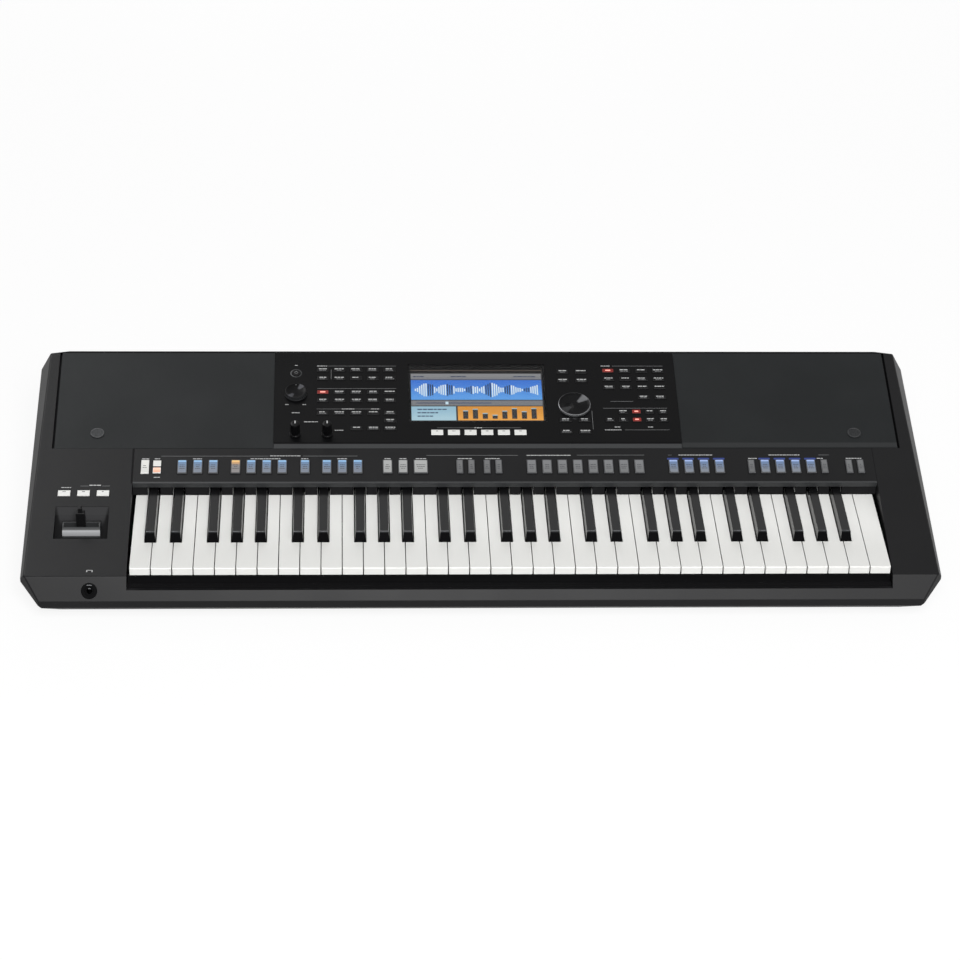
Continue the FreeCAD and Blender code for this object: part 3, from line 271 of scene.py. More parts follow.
# wearAndHighlight: pale line painted along the nose's top edge as a highlight; noseShade: Metallic that darkens the
# nose's sheen as painted shade
blackKeyMaking = {"face": finish((8, 8, 9), (12, 12, 13), 0.24, 0.05, grain=900, bump=0.05), "wearAndHighlight": (46, 47, 48),
                  "topStart": (-131.5, -130.5), "highlightStart": (-132.4, -131.5), "highlightEnd": (-130.8, -130.1),
                  "highlightHeight": (79.4, 80.6), "gloss": 0.5, "glossRough": 0.2, "noseShade": 0.9}


def blackKeyLook(settings):  # glossy top; the slanted front made metallic on its black base so its sheen goes dark, a painted shade; a painted highlight along the edge between them
    look = moulded("blackKey", settings["face"])
    x, y, z = look.axes()
    top = y.step(*settings["topStart"])
    # mask of the painted highlight along the nose's top edge
    edge = (y.step(*settings["highlightStart"]) - y.step(*settings["highlightEnd"])) * z.step(*settings["highlightHeight"])
    look.paint(Base_Color=look.mix(look.fed("Base Color"), tone(*settings["wearAndHighlight"]), edge),
               Coat_Weight=top * settings["gloss"], Coat_Roughness=settings["glossRough"],
               Metallic=(1 - top) * settings["noseShade"])
    return look


looks["blackKey"] = blackKeyLook(blackKeyMaking)

# dark and light tone, roughness, scale and stretch of the brushing
metals = {
    "springSteel": ((150, 152, 155), (186, 188, 191), 0.22, 900, (1, 0.08, 1)),
    "screwSteel": ((70, 70, 72), (98, 98, 100), 0.3, 1400, (1, 1, 1)),
    "magnetSteel": ((112, 113, 116), (140, 141, 144), 0.34, 400, (1, 1, 0.2)),
    "badgeMetal": ((48, 49, 50), (62, 63, 64), 0.4, 900, (1, 0.3, 1)),
    "rimMetal": ((62, 63, 64), (78, 79, 80), 0.34, 900, (1, 0.3, 1)),
}


def metalLook(name, dark, light, rough, scale, stretch):
    look = Look(name)
    brush = look.noise(scale, 3.0, stretch)
    look.paint(Base_Color=look.mix(tone(*dark), tone(*light), brush.step(*contrast)), Metallic=1.0,
               Roughness=brush * 0.25 + rough, Normal=look.bump(brush, 0.1, 0.00003))
    return look


looks.update({name: metalLook(name, *making) for name, making in metals.items()})

# frontTone: a painted highlight along the rolled front edge, graded stronger towards the right
grilleCloth = {"pitch": 1.3, "hole": (14, 16, 17), "wire": (31, 33, 34), "holeEdge": (0.05, 0.75), "rough": 0.42,
               "shine": 0.13, "front": (198.8, 206, 1), "frontTone": (47, 48, 49), "frontFade": (-300, 300),
               "frontShare": 0.7}


def grilleLook(settings):  # woven cloth, with a painted highlight along the rolled front edge, stronger towards the right
    look = Look("grilleCloth")
    across, up = look.axes()[0], look.upSlope()
    turn = math.pi / settings["pitch"]
    weave = (across * turn).sine() * (up * turn).sine()
    holes = (weave * weave).step(*settings["holeEdge"])
    broad = look.noise(9)
    shade = holes * 0.7 + broad.step(*contrast) * 0.3
    front = up.within(*settings["front"]) * across.step(*settings["frontFade"]) * settings["frontShare"]
    cloth = look.mix(tone(*settings["wire"]), tone(*settings["hole"]), shade)
    look.paint(Base_Color=look.mix(cloth, tone(*settings["frontTone"]), front),
               Roughness=broad * 0.12 + settings["rough"], Normal=look.bump(1 - holes, 0.2, 0.0002),
               Specular_IOR_Level=settings["shine"])
    return look


looks["grilleCloth"] = grilleLook(grilleCloth)

coneMaking = {"fibre": 2600, "stretch": (1, 1, 0.3), "dark": (22, 22, 24), "light": (36, 36, 38), "rough": 0.7}


def coneLook(settings):  # pressed paper with fine fibres
    look = Look("conePaper")
    fibre = look.noise(settings["fibre"], 4.0, settings["stretch"])
    broad = look.noise(30)
    look.paint(Base_Color=look.mix(tone(*settings["dark"]), tone(*settings["light"]), fibre * 0.6 + broad * 0.4),
               Roughness=fibre * 0.2 + settings["rough"], Normal=look.bump(fibre, 0.5, 0.0002))
    return look


looks["conePaper"] = coneLook(coneMaking)

panelMaking = {"dark": (7, 7, 8), "light": (10, 10, 11), "lip": (60, 61, 62), "lipEnd": (202.7, 203.3), "rough": 0.24,
               "lipRough": 0.2, "shine": 0.09}


def panelLook(settings):  # gloss black face, satin grey slope along its front
    look = Look("panelBlack")
    fine = look.noise(2400, 3.0)
    broad = look.noise(12)
    face = look.mix(tone(*settings["dark"]), tone(*settings["light"]), fine * 0.4 + broad * 0.6)
    lip = look.mix(tone(*settings["lip"]), darker(settings["lip"], 6), fine)
    back = look.upSlope().step(*settings["lipEnd"])
    look.paint(Base_Color=look.mix(lip, face, back),
               Roughness=settings["rough"] + broad * 0.1 + (1 - back) * settings["lipRough"],
               Normal=look.bump(fine, 0.08, 0.00005), Specular_IOR_Level=settings["shine"])
    return look


looks["panelBlack"] = panelLook(panelMaking)

boardMaking = {"dark": (18, 62, 38), "light": (30, 88, 54), "trace": (58, 116, 76), "pitch": 2.6, "stray": 20,
               "gap": 0.55, "rough": 0.4}


def boardLook(settings):  # solder mask with tracks under it
    look = Look("boardGreen")
    turn = math.tau / settings["pitch"]
    tracks = ((look.axes()[0] + look.noise(40) * settings["stray"]) * turn).sine() > settings["gap"]
    mask = look.mix(tone(*settings["dark"]), tone(*settings["light"]), look.noise(60))
    look.paint(Base_Color=look.mix(mask, tone(*settings["trace"]), tracks * 0.6),
               Roughness=settings["rough"] - tracks * 0.1, Normal=look.bump(tracks, 0.2, 0.00003))
    return look


looks["boardGreen"] = boardLook(boardMaking)

glassMaking = {"gloss": 0.009, "smear": 0.006, "rough": 0.03}


def glassLook(settings):
    look = Look("windowGlass")
    share = look.noise(18) * settings["smear"] + settings["gloss"]
    clear = look.node("ShaderNodeBsdfTransparent")
    shiny = look.node("ShaderNodeBsdfGlossy", inputs={"Roughness": settings["rough"]})
    look.cover(look.node("ShaderNodeMixShader", inputs={0: share, 1: clear, 2: shiny}))
    return look


looks["windowGlass"] = glassLook(glassMaking)

barrelMaking = {"bandStart": (69.3, 69.7), "bandEnd": (72.9, 73.5), "bar": (150, 151, 153), "rest": (52, 53, 54),
                "rough": 0.32, "shine": 0.25}


def barrelLook(settings):  # pale band along its front, dark round it
    look = Look("barrelPlastic")
    up = look.upSlope()
    pale = up.step(*settings["bandStart"]) - up.step(*settings["bandEnd"])
    fine = look.noise(1600)
    bar = look.mix(tone(*settings["bar"]), darker(settings["bar"], 14), fine)
    look.paint(Base_Color=look.mix(tone(*settings["rest"]), bar, pale), Roughness=fine * 0.15 + settings["rough"],
               Normal=look.bump(fine, 0.08, 0.00004), Specular_IOR_Level=settings["shine"])
    return look


looks["barrelPlastic"] = barrelLook(barrelMaking)

litMaking = {"backEdge": (buttonV + 7.2, buttonV + 9.8, 0.6), "under": (8, 8, 9), "rough": 0.3, "shine": 0.3}


def lit(low, high, light, start=buttonV - 9, end=buttonV + 9, edge=None, cloud=240, solid=1.0):
    return {"low": low, "high": high, "light": light, "span": (start, end), "edge": edge, "cloud": cloud,
            "solid": solid}


def litLook(name, settings):  # lower and upper colour up the slope, some with a brighter back edge
    look = Look(name)
    up = look.upSlope()
    cloud = look.noise(settings["cloud"])
    share = up.step(*settings["span"]) * 0.85 + cloud * 0.15
    colour = look.mix(tone(*settings["low"]), tone(*settings["high"]), share)
    if settings["edge"]:
        colour = look.mix(colour, tone(*settings["edge"]), up.within(*litMaking["backEdge"]))
    look.paint(Base_Color=look.mix(tone(*litMaking["under"]), colour, settings["solid"]), Emission_Color=colour,
               Roughness=cloud * 0.1 + litMaking["rough"], Emission_Strength=settings["light"],
               Specular_IOR_Level=litMaking["shine"])
    return look


glows = {
    "lensBlue": lit((110, 115, 124), (92, 122, 156), 0.14, buttonV - 7, buttonV + 9, (136, 176, 212)),
    "lensAmber": lit((112, 114, 118), (190, 146, 92), 0.16, buttonV + 1, buttonV + 7, (222, 182, 120)),
    "lensPad": lit((114, 118, 124), (88, 112, 148), 0.16, buttonV - 9, buttonV + 10, (146, 166, 208)),
    "lensGrey": lit((104, 105, 106), (112, 113, 115), 0.08),
    "lensDim": lit((94, 95, 96), (102, 103, 104), 0.08),
    "lensPale": lit((146, 147, 146), (158, 159, 158), 0.08),
    "lensWhite": lit((196, 196, 192), (208, 208, 204), 0.1),
    "lensPink": lit((226, 140, 112), (240, 196, 176), 0.4, buttonV - 10, buttonV),
    "padHalo": lit((34, 36, 42), (38, 54, 112), 0.24, buttonV, buttonV + 13),
    "litRed": lit((104, 26, 20), (96, 22, 18), 0.6, panelV, panelV + 140),
    "litMark": lit((236, 150, 138), (236, 150, 138), 0.7, panelV, panelV + 140),
}
looks.update({name: litLook(name, settings) for name, settings in glows.items()})

inks = {"inkWhite": (196, 197, 197), "inkGrey": (126, 127, 128), "inkDark": (62, 63, 66)}


def inkLook(name, colour):
    look = Look(name)
    wearAndHighlight = look.noise(900)
    look.paint(Base_Color=look.mix(tone(*colour), tone(*[level * 0.82 for level in colour]), wearAndHighlight),
               Roughness=wearAndHighlight * 0.2 + 0.5, Specular_IOR_Level=0.2)
    return look


looks.update({name: inkLook(name, colour) for name, colour in inks.items()})
print("looks:", len(looks))

nodesOfLooks = {
    "caseGrey": "upper_case", "lowerGrey": "lower_case", "panelBlack": "control_panel display_module",
    "stripGrey": "button_strip_panel", "windowGlass": "display_window", "grilleCloth": "speaker_grilles",
    "badgeMetal": "grille_badges", "basketBlack": "woofer_baskets", "conePaper": "woofer_cones",
    "magnetSteel": "woofer_magnets", "tweeterBlack": "tweeters", "chassisBlack": "key_chassis",
    "springSteel": "key_pivot_rod key_springs knob_spindles",
    "boardGreen": "key_contact_board main_board panel_boards", "domeRubber": "key_contact_domes",
    "feltGrey": "key_felts", "slipBlack": "key_slip rear_socket_panel", "socketBlack": "rear_jacks rear_ports",
    "jackBlack": "headphone_jack", "blackRubber": "rubber_feet", "screwSteel": "case_screws",
    "trayGrey": "joystick_tray", "barrelPlastic": "joystick_barrel", "leverBlack": "joystick_lever",
    "blackCap": "power_button style_category_buttons song_buttons dial_buttons voice_buttons part_buttons",
    "lensCap": "style_control_buttons registration_buttons pad_buttons narrow_strip_buttons",
    "whiteCap": "strip_left_buttons display_buttons joystick_buttons",
    "knobBlack": "volume_knob live_knob_left live_knob_right data_dial",
}
nodeLooks = {node: look for look, names in nodesOfLooks.items() for node in names.split()}
for name, node in nodes.items():
    lookName = nodeLooks.get(name) or ("blackKey" if name.endswith("_sharp") else "whiteKey")
    node.data.materials.clear()
    node.data.materials.append(looks[lookName].material)
print("solids painted:", len(nodes))


def newPiece(name, shape, lookNames, body, replaced=(), place=toTop):
    shape.transform(place)
    bmesh.ops.recalc_face_normals(shape, faces=shape.faces)
    mesh = bpy.data.meshes.new(name)
    shape.to_mesh(mesh)
    shape.free()
    for lookName in lookNames:
        mesh.materials.append(looks[lookName].material)
    mesh.shade_smooth()
    mesh.set_sharp_from_angle(angle=math.radians(35))
    piece = bpy.data.objects.new(name, mesh)
    bpy.context.scene.collection.objects.link(piece)
    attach(piece, body)
    if replaced:
        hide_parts(*replaced)


def roundEdges(shape, edges, offset):
    bmesh.ops.bevel(shape, geom=list(edges), offset=offset, affect="EDGES", segments=3, profile=0.5, material=-1)


def addTile(shape, x, v, w, width, length, thick, paint=0, rounding=0):
    place = Matrix.Translation((x, v, w + thick / 2)) @ Matrix.Diagonal((width, length, thick, 1))
    made = bmesh.ops.create_cube(shape, size=1, matrix=place)
    for vert in made["verts"]:
        for face in vert.link_faces:
            face.material_index = paint
    if rounding:
        uprights = dict.fromkeys(edge for vert in made["verts"] for edge in vert.link_edges
                                 if abs(edge.verts[0].co.z - edge.verts[1].co.z) > thick / 2)
        roundEdges(shape, uprights, rounding)


printing = {"thick": 0.06, "rise": 0.02, "wordGap": 0.5, "shortest": 1.5, "longest": 4.0}


def addWords(shape, x, v, w, span, height, paint, dice):  # plain dashes where the real one has words
    start = x - span / 2
    while start < x + span / 2 - height:
        length = min(height * dice.uniform(printing["shortest"], printing["longest"]), x + span / 2 - start)
        addTile(shape, start + length / 2, v, w, length, height, printing["thick"], paint)
        start += length + height * printing["wordGap"]


def addLine(shape, x0, x1, v, w, height, paint):
    addTile(shape, (x0 + x1) / 2, v, w, x1 - x0, height, printing["thick"], paint)


# groups of small black buttons on the panel: columns, rows with the columns each has, cap width
panelGroups = {
    "style_category_buttons": {"columns": [-179 + 19.5 * i for i in range(5)], "width": 13.6,
                               "rows": {127.3: range(5), 113.0: range(5)}, "lit": []},
    "song_buttons": {"columns": [-179 + 19.5 * i for i in range(5)], "width": 13.6,
                     "rows": {89.6: range(5), 76.3: range(5), 55.6: range(5), 43.0: (4,),
                              30.3: (2, 3, 4)}, "lit": [(89.6, 0)]},
    "voice_buttons": {"columns": [156.6 + 19.7 * i for i in range(4)], "width": 13.6,
                      "rows": {125.9: range(4), 112.0: range(4), 98.1: range(4), 81.4: (2, 3)},
                      "lit": [(125.9, 0)]},
    "part_buttons": {"columns": [154.7 + 15.55 * i for i in range(5)], "width": 10.4,
                     "rows": {57.3: (1, 2, 3, 4), 44.1: range(5)}, "lit": [(57.3, 2), (44.1, 2)]},
    "dial_buttons": {"columns": [102.8, 124.6], "width": 13.6,
                     "rows": {124.4: (0, 1), 109.6: (0, 1), 44.0: (0, 1), 25.0: (0, 1)}, "lit": []},
}
capPrint = {"rise": 2.7, "length": 6.4, "margin": 1.8,
            "first": {"up": 1.25, "height": 1.3, "share": (0.65, 1)},
            "second": {"up": -1.2, "height": 1.0, "share": (0.5, 0.9), "odds": 0.85},
            "lit": {"inset": 0.8, "rounding": 0.8, "up": 0.3, "height": 2.0, "share": 0.5}}


def printCaps(body, group, settings):
    dice = random.Random(body)
    shape = bmesh.new()
    first, second, glow = settings["first"], settings["second"], settings["lit"]
    w, span = settings["rise"], group["width"] - settings["margin"]
    for row, columns in group["rows"].items():
        for column in columns:
            x, v = group["columns"][column], panelV + row
            if (row, column) in group["lit"]:
                addTile(shape, x, v, w, group["width"] - glow["inset"], settings["length"] - glow["inset"],
                        printing["thick"], 2, glow["rounding"])
                addWords(shape, x, v + glow["up"], w + printing["thick"], span * glow["share"], glow["height"], 3, dice)
                continue
            addWords(shape, x, v + first["up"], w, span * dice.uniform(*first["share"]), first["height"], 0, dice)
            if dice.random() < second["odds"]:
                addWords(shape, x, v + second["up"], w, span * dice.uniform(*second["share"]), second["height"], 1,
                         dice)
    newPiece(body + "_print", shape, ["inkWhite", "inkGrey", "litRed", "litMark"], body)


for body, group in panelGroups.items():
    printCaps(body, group, capPrint)

# lines: left, right, row; words: middle, row, span; uprights: place, row, length
facePrints = {
    "panel_print": {
        "seed": "panel", "v": panelV, "w": panelW, "lineHeight": 0.4, "wordHeight": 1.0, "slot": "panel_black",
        "lines": [(-173, -92.8, 134.2), (-185.4, -93.3, 96.3), (-186, -112, 62.4), (162, 222, 134.4),
                  (156.7, 183.1, 75.0), (147.6, 222.3, 63.6), (170.5, 222.7, 28.0), (-47, 50, 31.5)],
        "words": [(-180, 134.2, 12), (154.6, 134.4, 11.6), (-210.3, 135.2, 3), (-220.7, 69.7, 4), (-200.5, 69.7, 4),
                  (-210.3, 56.2, 9), (-149, 62.4, 16), (-118, 62.4, 10), (-160, 27.5, 10), (1.2, 31.5, 10),
                  (-192.5, 41.3, 16), (157, 28.0, 19), (163, 32.7, 8), (200.8, 32.7, 6)],
        "uprights": [(-169.3, 120.2, 16), (134.0, 44.0, 30)]},
    "strip_print": {
        "seed": "strip", "v": stripV, "w": 0, "lineHeight": 0.45, "wordHeight": 1.1, "slot": "strip_grey",
        "lines": [(-362.7, -240.5, 43.1), (-201.5, -139, 43.1), (112.7, 190.4, 44.3), (217.9, 222, 44.3),
                  (-60, 45, 44.0), (392, 404, 44.3)],
        "words": [(-221, 43.4, 36), (-380.4, 38.8, 8), (-367.0, 38.8, 6), (-321.5, 38.8, 10), (-244.0, 38.8, 34),
                  (-199.3, 38.8, 8), (-156, 38.8, 12), (-104.6, 38.8, 7), (-87, 38.8, 8), (-66.5, 38.8, 12),
                  (-15.5, 38.8, 18), (16.0, 38.8, 18), (81, 44.0, 52), (250, 44.3, 40), (352, 44.3, 36),
                  (315, 38.8, 10), (393, 38.8, 7), (432, 38.8, 18), (-366.6, 9.5, 7)],
        "uprights": []},
}


def printFace(name, settings):
    dice = random.Random(settings["seed"])
    shape = bmesh.new()
    v, w = settings["v"], settings["w"]
    for x0, x1, row in settings["lines"]:
        addLine(shape, x0, x1, v + row, w, settings["lineHeight"], 1)
    for x, row, span in settings["words"]:
        addWords(shape, x, v + row, w + printing["rise"], span, settings["wordHeight"], 0, dice)
    for x, row, length in settings["uprights"]:
        addTile(shape, x, v + row, w, settings["lineHeight"], length, printing["thick"], 1)
    newPiece(name, shape, ["inkWhite", "inkGrey"], "case")


for name, settings in facePrints.items():
    printFace(name, settings)

stripEdgeHighlight = {"left": -393.6, "right": 454.6, "width": 2.4, "thick": 0.08, "rounding": 0.6}


def addStripEdgeHighlight(settings):  # rounded pale trim along the strip's front edge, a painted highlight
    shape = bmesh.new()
    thick = settings["thick"]
    addTile(shape, (settings["left"] + settings["right"]) / 2, stripV + settings["width"] / 2, 0,
            settings["right"] - settings["left"], settings["width"], thick)
    crest = [edge for edge in shape.edges if all(vert.co.z > thick / 2 for vert in edge.verts)]
    roundEdges(shape, crest, thick * settings["rounding"])
    newPiece("strip_edge_highlight", shape, ["edgeHighlightGrey"], "case")


addStripEdgeHighlight(stripEdgeHighlight)

stripSeamShade = {"left": (-395.0, 1.8), "right": (455.0, 0.8), "thick": 0.04, "rounding": 0.3}


def addStripSeamShade(settings):  # dark tile over the joint between the strip and the cheek at each end, painted shade in the seam
    shape = bmesh.new()
    for end in ("left", "right"):
        x, width = settings[end]
        addTile(shape, x, (stripV + panelV) / 2, 0, width, panelV - stripV, settings["thick"], 0, settings["rounding"])
    newPiece("strip_seam_shade", shape, ["slipBlack"], "case")


addStripSeamShade(stripSeamShade)

cheekPrint = {"words": [(-467.9, 135.3, 11, 1.0), (-435.0, 138.8, 14, 1.4)], "lineHeight": 0.5,
              "lines": [(-452, -442.5, 137.6), (-427.5, -419, 137.6)],
              "plug": {"x": -434.7, "v": 7.6, "barUp": 1.4, "bar": (6.4, 0.6), "apart": 2.9, "ear": (1.1, 2.6),
                       "rounding": 0.3}}


def printCheek(settings):
    dice = random.Random("cheek")
    shape = bmesh.new()
    for x, v, span, height in settings["words"]:
        addWords(shape, x, v, 0, span, height, 0, dice)
    for x0, x1, v in settings["lines"]:
        addLine(shape, x0, x1, v, 0, settings["lineHeight"], 1)
    plug = settings["plug"]
    addTile(shape, plug["x"], plug["v"] + plug["barUp"], 0, *plug["bar"], printing["thick"], 0)
    for side in (-1, 1):
        addTile(shape, plug["x"] + side * plug["apart"], plug["v"], 0, *plug["ear"], printing["thick"], 0,
                plug["rounding"])
    newPiece("cheek_print", shape, ["inkWhite", "inkGrey"], "case")


printCheek(cheekPrint)
print("prints on the panels and caps")

stripLeft = -394.0
lensMaking = {"inset": 1.0, "thick": 0.12, "rise": 1.6, "length": 21.0, "rounding": 1.0, "markHeight": 0.8,
              "markRows": (2.2, -0.6, -3.4), "markShare": (0.4, 0.8)}
lensGroups = {
    "style_control_buttons": [(stripLeft + start, 11.0, "lensAmber" if start == 116.2 else "lensBlue") for start in
                              (55.5, 73.15, 90.8, 116.2, 133.85, 151.5, 169.15, 195.1, 219.9, 237.55, 255.2)],
    "registration_buttons": ([(stripLeft + 289.2, 11.0, "lensPale"), (stripLeft + 306.85, 11.0, "lensPale"),
                              (stripLeft + 327.1, 16.3, "lensPale")]
                             + [(stripLeft + 454 + 17.65 * i, 11.0, "lensGrey") for i in range(8)]),
    "pad_buttons": [(stripLeft + start + 17.65 * i, 11.0, "lensPad") for start in (617, 722.4) for i in range(4)],
    "narrow_strip_buttons": [(stripLeft + start, 7.7, "lensDim") for start in
                             (371.7, 385.1, 402.9, 416.3, 706.7, 790.9, 819.5, 832.9)],
}


def addLenses(body, caps, settings):
    dice = random.Random(body)
    shape = bmesh.new()
    names = sorted({look for x, width, look in caps}) + ["inkDark"]
    inset = settings["inset"] * 2
    top = settings["rise"] + settings["thick"]
    for x, width, look in caps:
        addTile(shape, x, buttonV, settings["rise"], width - inset, settings["length"] - inset, settings["thick"],
                names.index(look), settings["rounding"])
        for row in settings["markRows"]:
            addWords(shape, x, buttonV + row, top, (width - inset) * dice.uniform(*settings["markShare"]),
                     settings["markHeight"], len(names) - 1, dice)
    newPiece(body + "_lenses", shape, names, body)


for body, caps in lensGroups.items():
    addLenses(body, caps, lensMaking)

leftLenses = {"caps": [(13.4, 0.0, 9.0, 21.0), (27.0, 5.55, 9.0, 8.2), (27.0, -5.55, 9.0, 8.2)], "inset": 1.2,
              "rounding": 0.8, "marks": [(13.4, 1, 4), (13.4, -2, 5)]}


def addLeftLenses(settings):  # one tall cap, two short ones beside it
    dice = random.Random("left")
    shape = bmesh.new()
    for paint, (start, off, width, length) in enumerate(settings["caps"]):
        addTile(shape, stripLeft + start, buttonV + off, lensMaking["rise"], width - settings["inset"],
                length - settings["inset"], lensMaking["thick"], paint, settings["rounding"])
    for start, row, span in settings["marks"]:
        addWords(shape, stripLeft + start, buttonV + row, lensMaking["rise"] + lensMaking["thick"], span,
                 lensMaking["markHeight"], 3, dice)
    newPiece("strip_left_lenses", shape, ["lensWhite", "lensWhite", "lensPink", "inkDark"], "strip_left_buttons")


addLeftLenses(leftLenses)

capShadowMaking = {"reach": 0.8, "thick": 0.04, "rounding": 1.2}
paleCaps = {
    "strip_cap_shadows": ([(x, buttonV, width, lensMaking["length"], 0)
                         for caps in lensGroups.values() for x, width, look in caps]
                        + [(stripLeft + start, buttonV + off, width, length, 0)
                           for start, off, width, length in leftLenses["caps"]]),
    "cheek_cap_shadows": [(joystickWell["x"] + 21.8 * i, 125.7, 13.9, 8.0, 0) for i in (-1, 0, 1)],
    "display_cap_shadows": [(1.2 + 19.25 * (i - 2.5), panelV + 23.7, 13.9, 8.0, panelW) for i in range(6)],
}


def addCapShadows(name, caps, settings):  # dark tile round each pale cap, painted shade in the gap of its opening
    shape = bmesh.new()
    more = settings["reach"] * 2
    for x, v, width, length, w in caps:
        addTile(shape, x, v, w, width + more, length + more, settings["thick"], 0, settings["rounding"])
    newPiece(name, shape, ["slipBlack"], "case")


for name, caps in paleCaps.items():
    addCapShadows(name, caps, capShadowMaking)

capMarks = {"up": 0.22, "share": (0.16, 0.3), "height": 0.9,
            "bodies": {"display_buttons": ("display_cap_shadows", 2.7), "joystick_buttons": ("cheek_cap_shadows", 1.6)}}


def markCaps(body, caps, rise, settings):  # small dark dash near the back of each white cap
    dice = random.Random(body)
    shape = bmesh.new()
    for x, v, width, length, w in paleCaps[caps]:
        addWords(shape, x, v + length * settings["up"], rise, width * dice.uniform(*settings["share"]),
                 settings["height"], 0, dice)
    newPiece(body + "_marks", shape, ["inkDark"], body)


for body, (caps, rise) in capMarks["bodies"].items():
    markCaps(body, caps, rise, capMarks)

haloMaking = {"reach": 3.0, "width": 13.4, "gap": 0.9, "rounding": 1.2}


def addPadHalos(settings):  # light that the lit pads throw on the strip behind them
    shape = bmesh.new()
    v = buttonV + lensMaking["length"] / 2 + settings["gap"] + settings["reach"] / 2
    for x, width, look in lensGroups["pad_buttons"]:
        addTile(shape, x, v, 0, settings["width"], settings["reach"], printing["thick"], 0, settings["rounding"])
    newPiece("pad_halos", shape, ["padHalo"], "case")


addPadHalos(haloMaking)
print("lit lenses on the strip")


def screenLit(low, high, light, start, end):
    return lit(low, high, light, panelV + start, panelV + end, cloud=90, solid=0.06)


screenGlows = {
    "screenDark": screenLit((26, 28, 32), (44, 44, 48), 0.8, 40, 130),
    "screenStatus": screenLit((116, 118, 122), (138, 139, 141), 0.8, 114, 126),
    "screenBlue": screenLit((88, 160, 232), (34, 104, 206), 0.85, 80, 116),
    "screenWave": screenLit((196, 222, 236), (232, 240, 242), 0.85, 80, 116),
    "screenDeep": screenLit((30, 58, 96), (22, 44, 78), 0.8, 80, 116),
    "screenAmber": screenLit((236, 164, 62), (214, 142, 40), 0.85, 46, 68),
    "screenPale": screenLit((172, 206, 218), (146, 186, 206), 0.85, 46, 68),
    "screenEdge": screenLit((118, 104, 92), (118, 104, 92), 0.5, 126, 134),
}
looks.update({name: litLook(name, settings) for name, settings in screenGlows.items()})
screenMaking = {
    "left": -76.0, "right": 77.5, "low": 44.2, "high": 125.0, "top": -2.0, "thick": 0.05, "edge": (130.2, 131.0),
    "status": 115.6, "statusWords": [(-66, 14), (-20, 18), (58, 26)], "statusRow": 120.3, "statusHeight": 1.6,
    "wave": (81.5, 114.4), "waveRow": 97.8, "waveMargin": 4, "bars": 58, "barWidth": 1.5,
    "slider": (71.8, 80.2), "sliderLine": (75.4, 76.6), "sliderThumb": (73.8, 78.2),
    "boxes": (47.4, 70.4), "boxSplit": (52, 54), "boxWords": (24, 65.5, 34), "boxWordHeight": 1.7,
    "columns": 8, "columnStart": 60, "columnPitch": 11.4, "columnWidth": 6, "columnFoot": 50, "columnCap": 1.4,
    "foot": 46.4,
}


def drawScreen(settings):  # plain bands, a row of level bars and blank boxes
    dice = random.Random("screen")
    shape = bmesh.new()
    names = list(screenGlows)
    left, right, thick = settings["left"], settings["right"], settings["thick"]

    def band(name, x0, x1, low, high, layer):
        addTile(shape, (x0 + x1) / 2, panelV + (low + high) / 2, settings["top"] + thick * (layer - 1), x1 - x0,
                high - low, thick, names.index(name))

    def words(x, row, span, height):
        addWords(shape, x, panelV + row, settings["top"] + thick * 2, span, height, names.index("screenDeep"), dice)

    band("screenDark", left - 1, right + 1, settings["low"] - 1, settings["high"] + 1, 1)
    band("screenEdge", left - 1, right + 1, *settings["edge"], 1)
    band("screenStatus", left, right, settings["status"], settings["high"], 2)
    for x, span in settings["statusWords"]:
        words(x, settings["statusRow"], span, settings["statusHeight"])
    band("screenBlue", left, right, *settings["wave"], 2)
    margin, row, half = settings["waveMargin"], settings["waveRow"], settings["barWidth"] / 2
    step = (right - left - margin * 2) / settings["bars"]
    for i in range(settings["bars"]):
        x = left + margin + step * (i + 0.5)
        swell = abs(math.sin(i * 0.31) * math.sin(i * 0.113 + 0.6))
        level = 1.2 + 9.5 * swell + dice.uniform(0, 2.2)
        band("screenWave" if i % 9 < 6 else "screenDeep", x - half, x + half, row - level, row + level, 3)
    band("screenStatus", left, right, *settings["slider"], 2)
    band("screenDeep", left + 6, right - 60, *settings["sliderLine"], 3)
    band("screenWave", left + 40, left + 43.4, *settings["sliderThumb"], 4)
    paleEnd, amberStart = settings["boxSplit"]
    band("screenPale", left, left + paleEnd, *settings["boxes"], 2)
    band("screenAmber", left + amberStart, right, *settings["boxes"], 2)
    x, row, span = settings["boxWords"]
    for i in range(3):
        words(left + x - i * 4, row - i * 5.6, span - i * 8, settings["boxWordHeight"])
    for i in range(settings["columns"]):
        x0 = left + settings["columnStart"] + i * settings["columnPitch"]
        x1 = x0 + settings["columnWidth"]
        high = 51 + dice.uniform(4, 16)
        band("screenDark", x0, x1, settings["columnFoot"], high, 3)
        band("screenPale", x0, x1, high, high + settings["columnCap"], 3)
    band("screenStatus", left, right, settings["low"], settings["foot"], 2)
    newPiece("screen_picture", shape, names, "case")


drawScreen(screenMaking)
print("screen picture")


def onTop(x, v, w):
    return toTop @ Matrix.Translation((x, v, w))


def spun(profile, steps):
    shape = bmesh.new()
    verts = [shape.verts.new((radius, 0, height)) for radius, height in profile]
    edges = [shape.edges.new(pair) for pair in zip(verts, verts[1:])]
    bmesh.ops.spin(shape, geom=verts + edges, cent=(0, 0, 0), axis=(0, 0, 1), angle=math.tau, steps=steps,
                   use_merge=True)
    bmesh.ops.remove_doubles(shape, verts=shape.verts, dist=0.0001)
    return shape


def flute(shape, count, depth, low, high, reach):  # ribs up a knob's side, depth as a share of its radius
    for vert in shape.verts:
        if low < vert.co.z < high and vert.co.xy.length > reach:
            turn = math.atan2(vert.co.y, vert.co.x) * count
            vert.co.xy *= 1 - depth * (1 - math.cos(turn))


